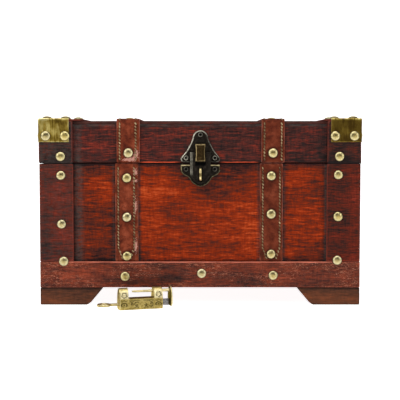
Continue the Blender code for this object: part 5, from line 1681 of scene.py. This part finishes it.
def build_bolt():
    """The end plate with its softly rounded edges, painted dark as shade on the face that meets the case, and
    the tapered rod that it carries, domed at its tip."""
    section = lock_section(PLATE_LOW, EAR_TOP, True, 0.9 * MM)
    rings = rounded_end(PLATE_LEFT, 1, section, 0.5 * MM) + rounded_end(PLATE_RIGHT, -1, section, 0.5 * MM)
    plate = closed_skin(on_lock(np.array(rings)))
    length = PLATE_LEFT - ROD_TIP + 0.4 * MM
    taper = np.column_stack([np.linspace(*ROD_RADIUS, 12) * MM, np.linspace(ROD_TAPER_FROM, length, 12)])
    profile = np.concatenate([np.array(ROD_DOME) * MM, taper, [(0.2 * MM, length)]])
    tip = on_lock([(ROD_TIP, 0, ROD_RISE)])[0]
    rod = turned(profile, tip, (math.cos(LOCK_TURN), math.sin(LOCK_TURN), 0), 32)
    hollow_and_shade = np.zeros(len(plate[0]) + len(rod[0]))
    # Painted shade on the plate's face that meets the case, which keeps the light off it.
    hollow_and_shade[:4 * len(section)] = 0.80
    # The plate's outer half is painted pale, a highlight on its lit edge, its inner half less, and the rod
    # fairly pale.
    rubbed_and_lit = np.concatenate([np.repeat([0.2, 0.9], len(plate[0]) // 2), np.full(len(rod[0]), 0.7)])
    make("lock_bolt", [plate, rod], LOCK_BRASS, "padlock_bolt", "lock_brass", ["padlock_bolt"], sharp=50,
         paint=lambda points: {"hollow_and_shade": hollow_and_shade, "rubbed_and_lit": rubbed_and_lit})


SPRING_LOW = 2.5 * MM
SPRING_HIGH = 8.5 * MM
SPRING_STEM = 1.4 * MM
SPRING_SPREAD = 2.9 * MM
SPRING_LEAF = 14 * MM


def build_spring():
    """The steel stem and its two leaves, which open towards the end plate: flat strips standing on edge."""
    left, right, half = SPRING_LEFT, PLATE_LEFT - 0.15 * MM, SPRING_STEM / 2
    tip, spread = left + SPRING_LEAF, SPRING_SPREAD
    skins = []
    for outline in ([(left, -half), (right, -half), (right, half), (left, half)],
                    [(left, 0.0), (tip, spread), (tip, spread + half), (left, half)],
                    [(left, -half), (tip, -spread - half), (tip, -spread), (left, 0.0)]):
        points, faces = bar(outline, Z, SPRING_LOW, SPRING_HIGH, radius=0.15 * MM, spacing=1.2 * MM)
        skins.append((on_lock(points), faces))
    make("lock_spring", skins, STEEL, "padlock_bolt", "steel", ["padlock_spring"], sharp=30)


BOW_RADIUS = 6.6 * MM
BOW_HOLE = 3.2 * MM
BOW_HALF = 1.1 * MM
# The bow's rings: how far in from its edge to its hole, and how high, both as shares
BOW_RINGS = ((0, -0.55), (0, 0.55), (0.07, 0.85), (0.2, 1.0), (0.8, 1.0), (0.93, 0.85), (1.0, 0.55),
             (1.0, -0.55), (0.93, -0.85), (0.8, -1.0), (0.2, -1.0), (0.07, -0.85))
BLADE_END = -8.25 * MM
BLADE_HALF = 2.5 * MM
SHOULDER = -20.65 * MM
NECK_HALF = 1.7 * MM
NECK_END = BOW_X + 5.9 * MM
KEY_HALF = 1.05 * MM


def build_key():
    """The key: a pierced bow, and a neck and blade that run from it into the slot. The bow's outline is a
    circle that a power of a sine draws in nine times, and rings that rise over a rounded edge join it to the
    hole."""
    turn = np.linspace(0, 2 * math.pi, 108, endpoint=False)
    round_bow = np.stack([np.cos(turn), np.sin(turn)], 1)
    outer = BOW_RADIUS * (1 - 0.085 * np.abs(np.sin(4.5 * turn + math.pi / 2)) ** 0.7)[:, None] * round_bow
    rings = []
    for share, level in BOW_RINGS:
        flat = outer * (1 - share) + BOW_HOLE * round_bow * share
        rings.append(np.column_stack([flat + (BOW_X, 0), np.full(len(flat), KEY_RISE + level * BOW_HALF)]))
    bow = closed_skin(on_lock(np.array(rings)), True)
    neck = SHOULDER - NECK_HALF
    outline = [(BLADE_END, -BLADE_HALF), (BLADE_END, BLADE_HALF), (SHOULDER, BLADE_HALF), (neck, NECK_HALF),
               (NECK_END, NECK_HALF), (NECK_END, -NECK_HALF), (neck, -NECK_HALF), (SHOULDER, -BLADE_HALF)]
    points, faces = bar(outline, Z, KEY_RISE - KEY_HALF, KEY_RISE + KEY_HALF, radius=0.35 * MM,
                        spacing=1.0 * MM)

    def paint(points):
        # The key's upper faces are painted pale, a highlight from the light above.
        return {"hollow_and_shade": np.zeros(len(points)), "rubbed_and_lit": 0.75 * (points[:, Z] > KEY_RISE + 0.5 * MM)}
    make("lock_key", [bow, (on_lock(points), faces)], LOCK_BRASS, "padlock_key", "lock_brass",
         ["padlock_key"], sharp=45, paint=paint)


def build_padlock():
    """The padlock's case, bolt, spring and key."""
    build_lock_case()
    build_bolt()
    build_spring()
    build_key()


# Hinges

HINGE_SCREW_PROFILE = ((0.1, -0.3), (1.9, -0.3), (1.95, 0.0), (1.7, 0.18), (0.9, 0.26), (0.1, 0.28))
HINGE_SCREW_RADIUS = 1.95
HINGE_SCREW_SIDES = 24
HINGE_SCREW_X = 7 * MM
HINGE_SCREW_IN = 5.5 * MM
HINGE_LEAF_THICKNESS = 1.1 * MM


def build_hinges():
    """The hinges' own solids in brass, with two countersunk screw heads on each leaf."""
    profile = np.array(HINGE_SCREW_PROFILE)
    rim = np.concatenate([np.repeat(profile[:, 0] / HINGE_SCREW_RADIUS, HINGE_SCREW_SIDES)] * 2)
    flat = node_box("back_panel")[1][Y] + HINGE_LEAF_THICKNESS
    for where in ("left", "right"):
        for leaf, body in (("case", "trunk_case"), ("lid", "lid")):
            node = f"hinge_{leaf}_leaf_{where}"
            low, high = node_box(node)
            x = (low[X] + high[X]) / 2
            z = low[Z] + HINGE_SCREW_IN if leaf == "case" else high[Z] - HINGE_SCREW_IN
            skins = [turned(profile * MM, (x + side * HINGE_SCREW_X, flat, z), (0, 1, 0), HINGE_SCREW_SIDES)
                     for side in (-1, 1)]
            make(f"{node}_screws", skins, TACK_BRASS, body, "brass",
                 paint=lambda points: {"rim": rim, "gold": np.full(len(rim), 0.6)})
        for node in (f"hinge_case_leaf_{where}", f"hinge_lid_leaf_{where}", f"hinge_pin_{where}"):
            dress(node, PLATE_BRASS)
    dress("hasp_pin", BRONZE)


def dress(node, material):
    """A frame's own solid gets a better material."""
    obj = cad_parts[node]
    obj.data.materials.clear()
    obj.data.materials.append(material)


# Room

FLOOR_FRONT = -4.0
FLOOR_HALF = 6
WALL = 2.6
WALL_ROUND = 1.2
WALL_HEIGHTS = (2.5, 5.0)


def build_room():
    """A pale floor that curves up in a quarter circle into a wall behind the trunk."""
    turn = np.linspace(0, math.pi / 2, 24)[1:]
    y = np.concatenate([np.linspace(FLOOR_FRONT, WALL - WALL_ROUND, 12),
                        WALL - WALL_ROUND + WALL_ROUND * np.sin(turn), [WALL, WALL]])
    z = np.concatenate([np.zeros(12), WALL_ROUND - WALL_ROUND * np.cos(turn), WALL_HEIGHTS])
    x = np.linspace(-FLOOR_HALF, FLOOR_HALF, 9)
    points = np.stack([np.repeat(x[None], len(y), 0), np.repeat(y[:, None], len(x), 1),
                       np.repeat(z[:, None], len(x), 1)], -1)
    index = np.arange(len(y) * len(x)).reshape(len(y), len(x))
    quads = np.stack([index[:-1, :-1], index[:-1, 1:], index[1:, 1:], index[1:, :-1]], -1).reshape(-1, 4)
    mesh = bpy.data.meshes.new("floor")
    mesh.from_pydata(points.reshape(-1, 3), [], quads.tolist())
    mesh.shade_smooth()
    mesh.materials.append(floor_finish())
    floor = bpy.data.objects.new("floor", mesh)
    bpy.context.scene.collection.objects.link(floor)


def soft_light(name, place, target, size, power, colour=(1, 1, 1)):
    """A square soft light that looks at a target."""
    data = bpy.data.lights.new(name, "AREA")
    data.shape = "RECTANGLE"
    data.size, data.size_y = size
    data.energy = power
    data.color = colour
    light = bpy.data.objects.new(name, data)
    bpy.context.scene.collection.objects.link(light)
    aim(light, place, target)


def aim(obj, place, target):
    """Put an object at a place and turn its -Z towards a target."""
    obj.location = place
    obj.rotation_euler = (Vector(target) - Vector(place)).to_track_quat("-Z", "Y").to_euler()


def build_lights():
    """White surroundings that are darker behind the camera, a big light overhead and one at each side."""
    world = bpy.data.worlds.new("studio")
    bpy.context.scene.world = world
    world.use_nodes = True
    tree = world.node_tree
    background = tree.nodes["Background"]
    direction = tree.nodes.new("ShaderNodeTexCoord").outputs["Generated"]
    split = tree.nodes.new("ShaderNodeSeparateXYZ")
    tree.links.new(direction, split.inputs[0])
    ramp = tree.nodes.new("ShaderNodeMapRange")
    ramp.interpolation_type = "SMOOTHSTEP"
    for socket, value in (("From Min", -0.55), ("From Max", -0.96), ("To Min", 1.0), ("To Max", 0.30)):
        ramp.inputs[socket].default_value = value
    tree.links.new(split.outputs["Y"], ramp.inputs["Value"])
    tree.links.new(ramp.outputs[0], background.inputs["Strength"])
    soft_light("overhead", (0, -0.6, 1.5), (0, 0, 0.1), (1.6, 1.2), 20)
    soft_light("left_window", (-1.3, -0.9, 0.8), (0, 0, 0.1), (0.9, 0.9), 11)
    soft_light("right_window", (1.3, -0.9, 0.7), (0, 0, 0.1), (0.8, 0.8), 7)


# The camera's angle in degrees, how far it is before the front, and how high it and its target are
CAMERA_ANGLE = 22.7
CAMERA_AWAY = 0.93
CAMERA_HEIGHT = 0.151
TARGET_HEIGHT = 0.0987


def build_camera():
    """The picture's own view: a little above the trunk's middle, looking slightly down at its front."""
    data = bpy.data.cameras.new("camera")
    data.angle = math.radians(CAMERA_ANGLE)
    camera = bpy.data.objects.new("camera", data)
    bpy.context.scene.collection.objects.link(camera)
    aim(camera, (0, FRONT - CAMERA_AWAY, CAMERA_HEIGHT), (0, FRONT, TARGET_HEIGHT))
    bpy.context.scene.camera = camera


build_boards()
corner_strips()
build_feet()
build_battens()
build_straps()
build_tacks()
build_plates()
build_hasp()
build_padlock()
build_hinges()
build_room()
build_lights()
build_camera()
bpy.context.scene.view_settings.view_transform = "Standard"
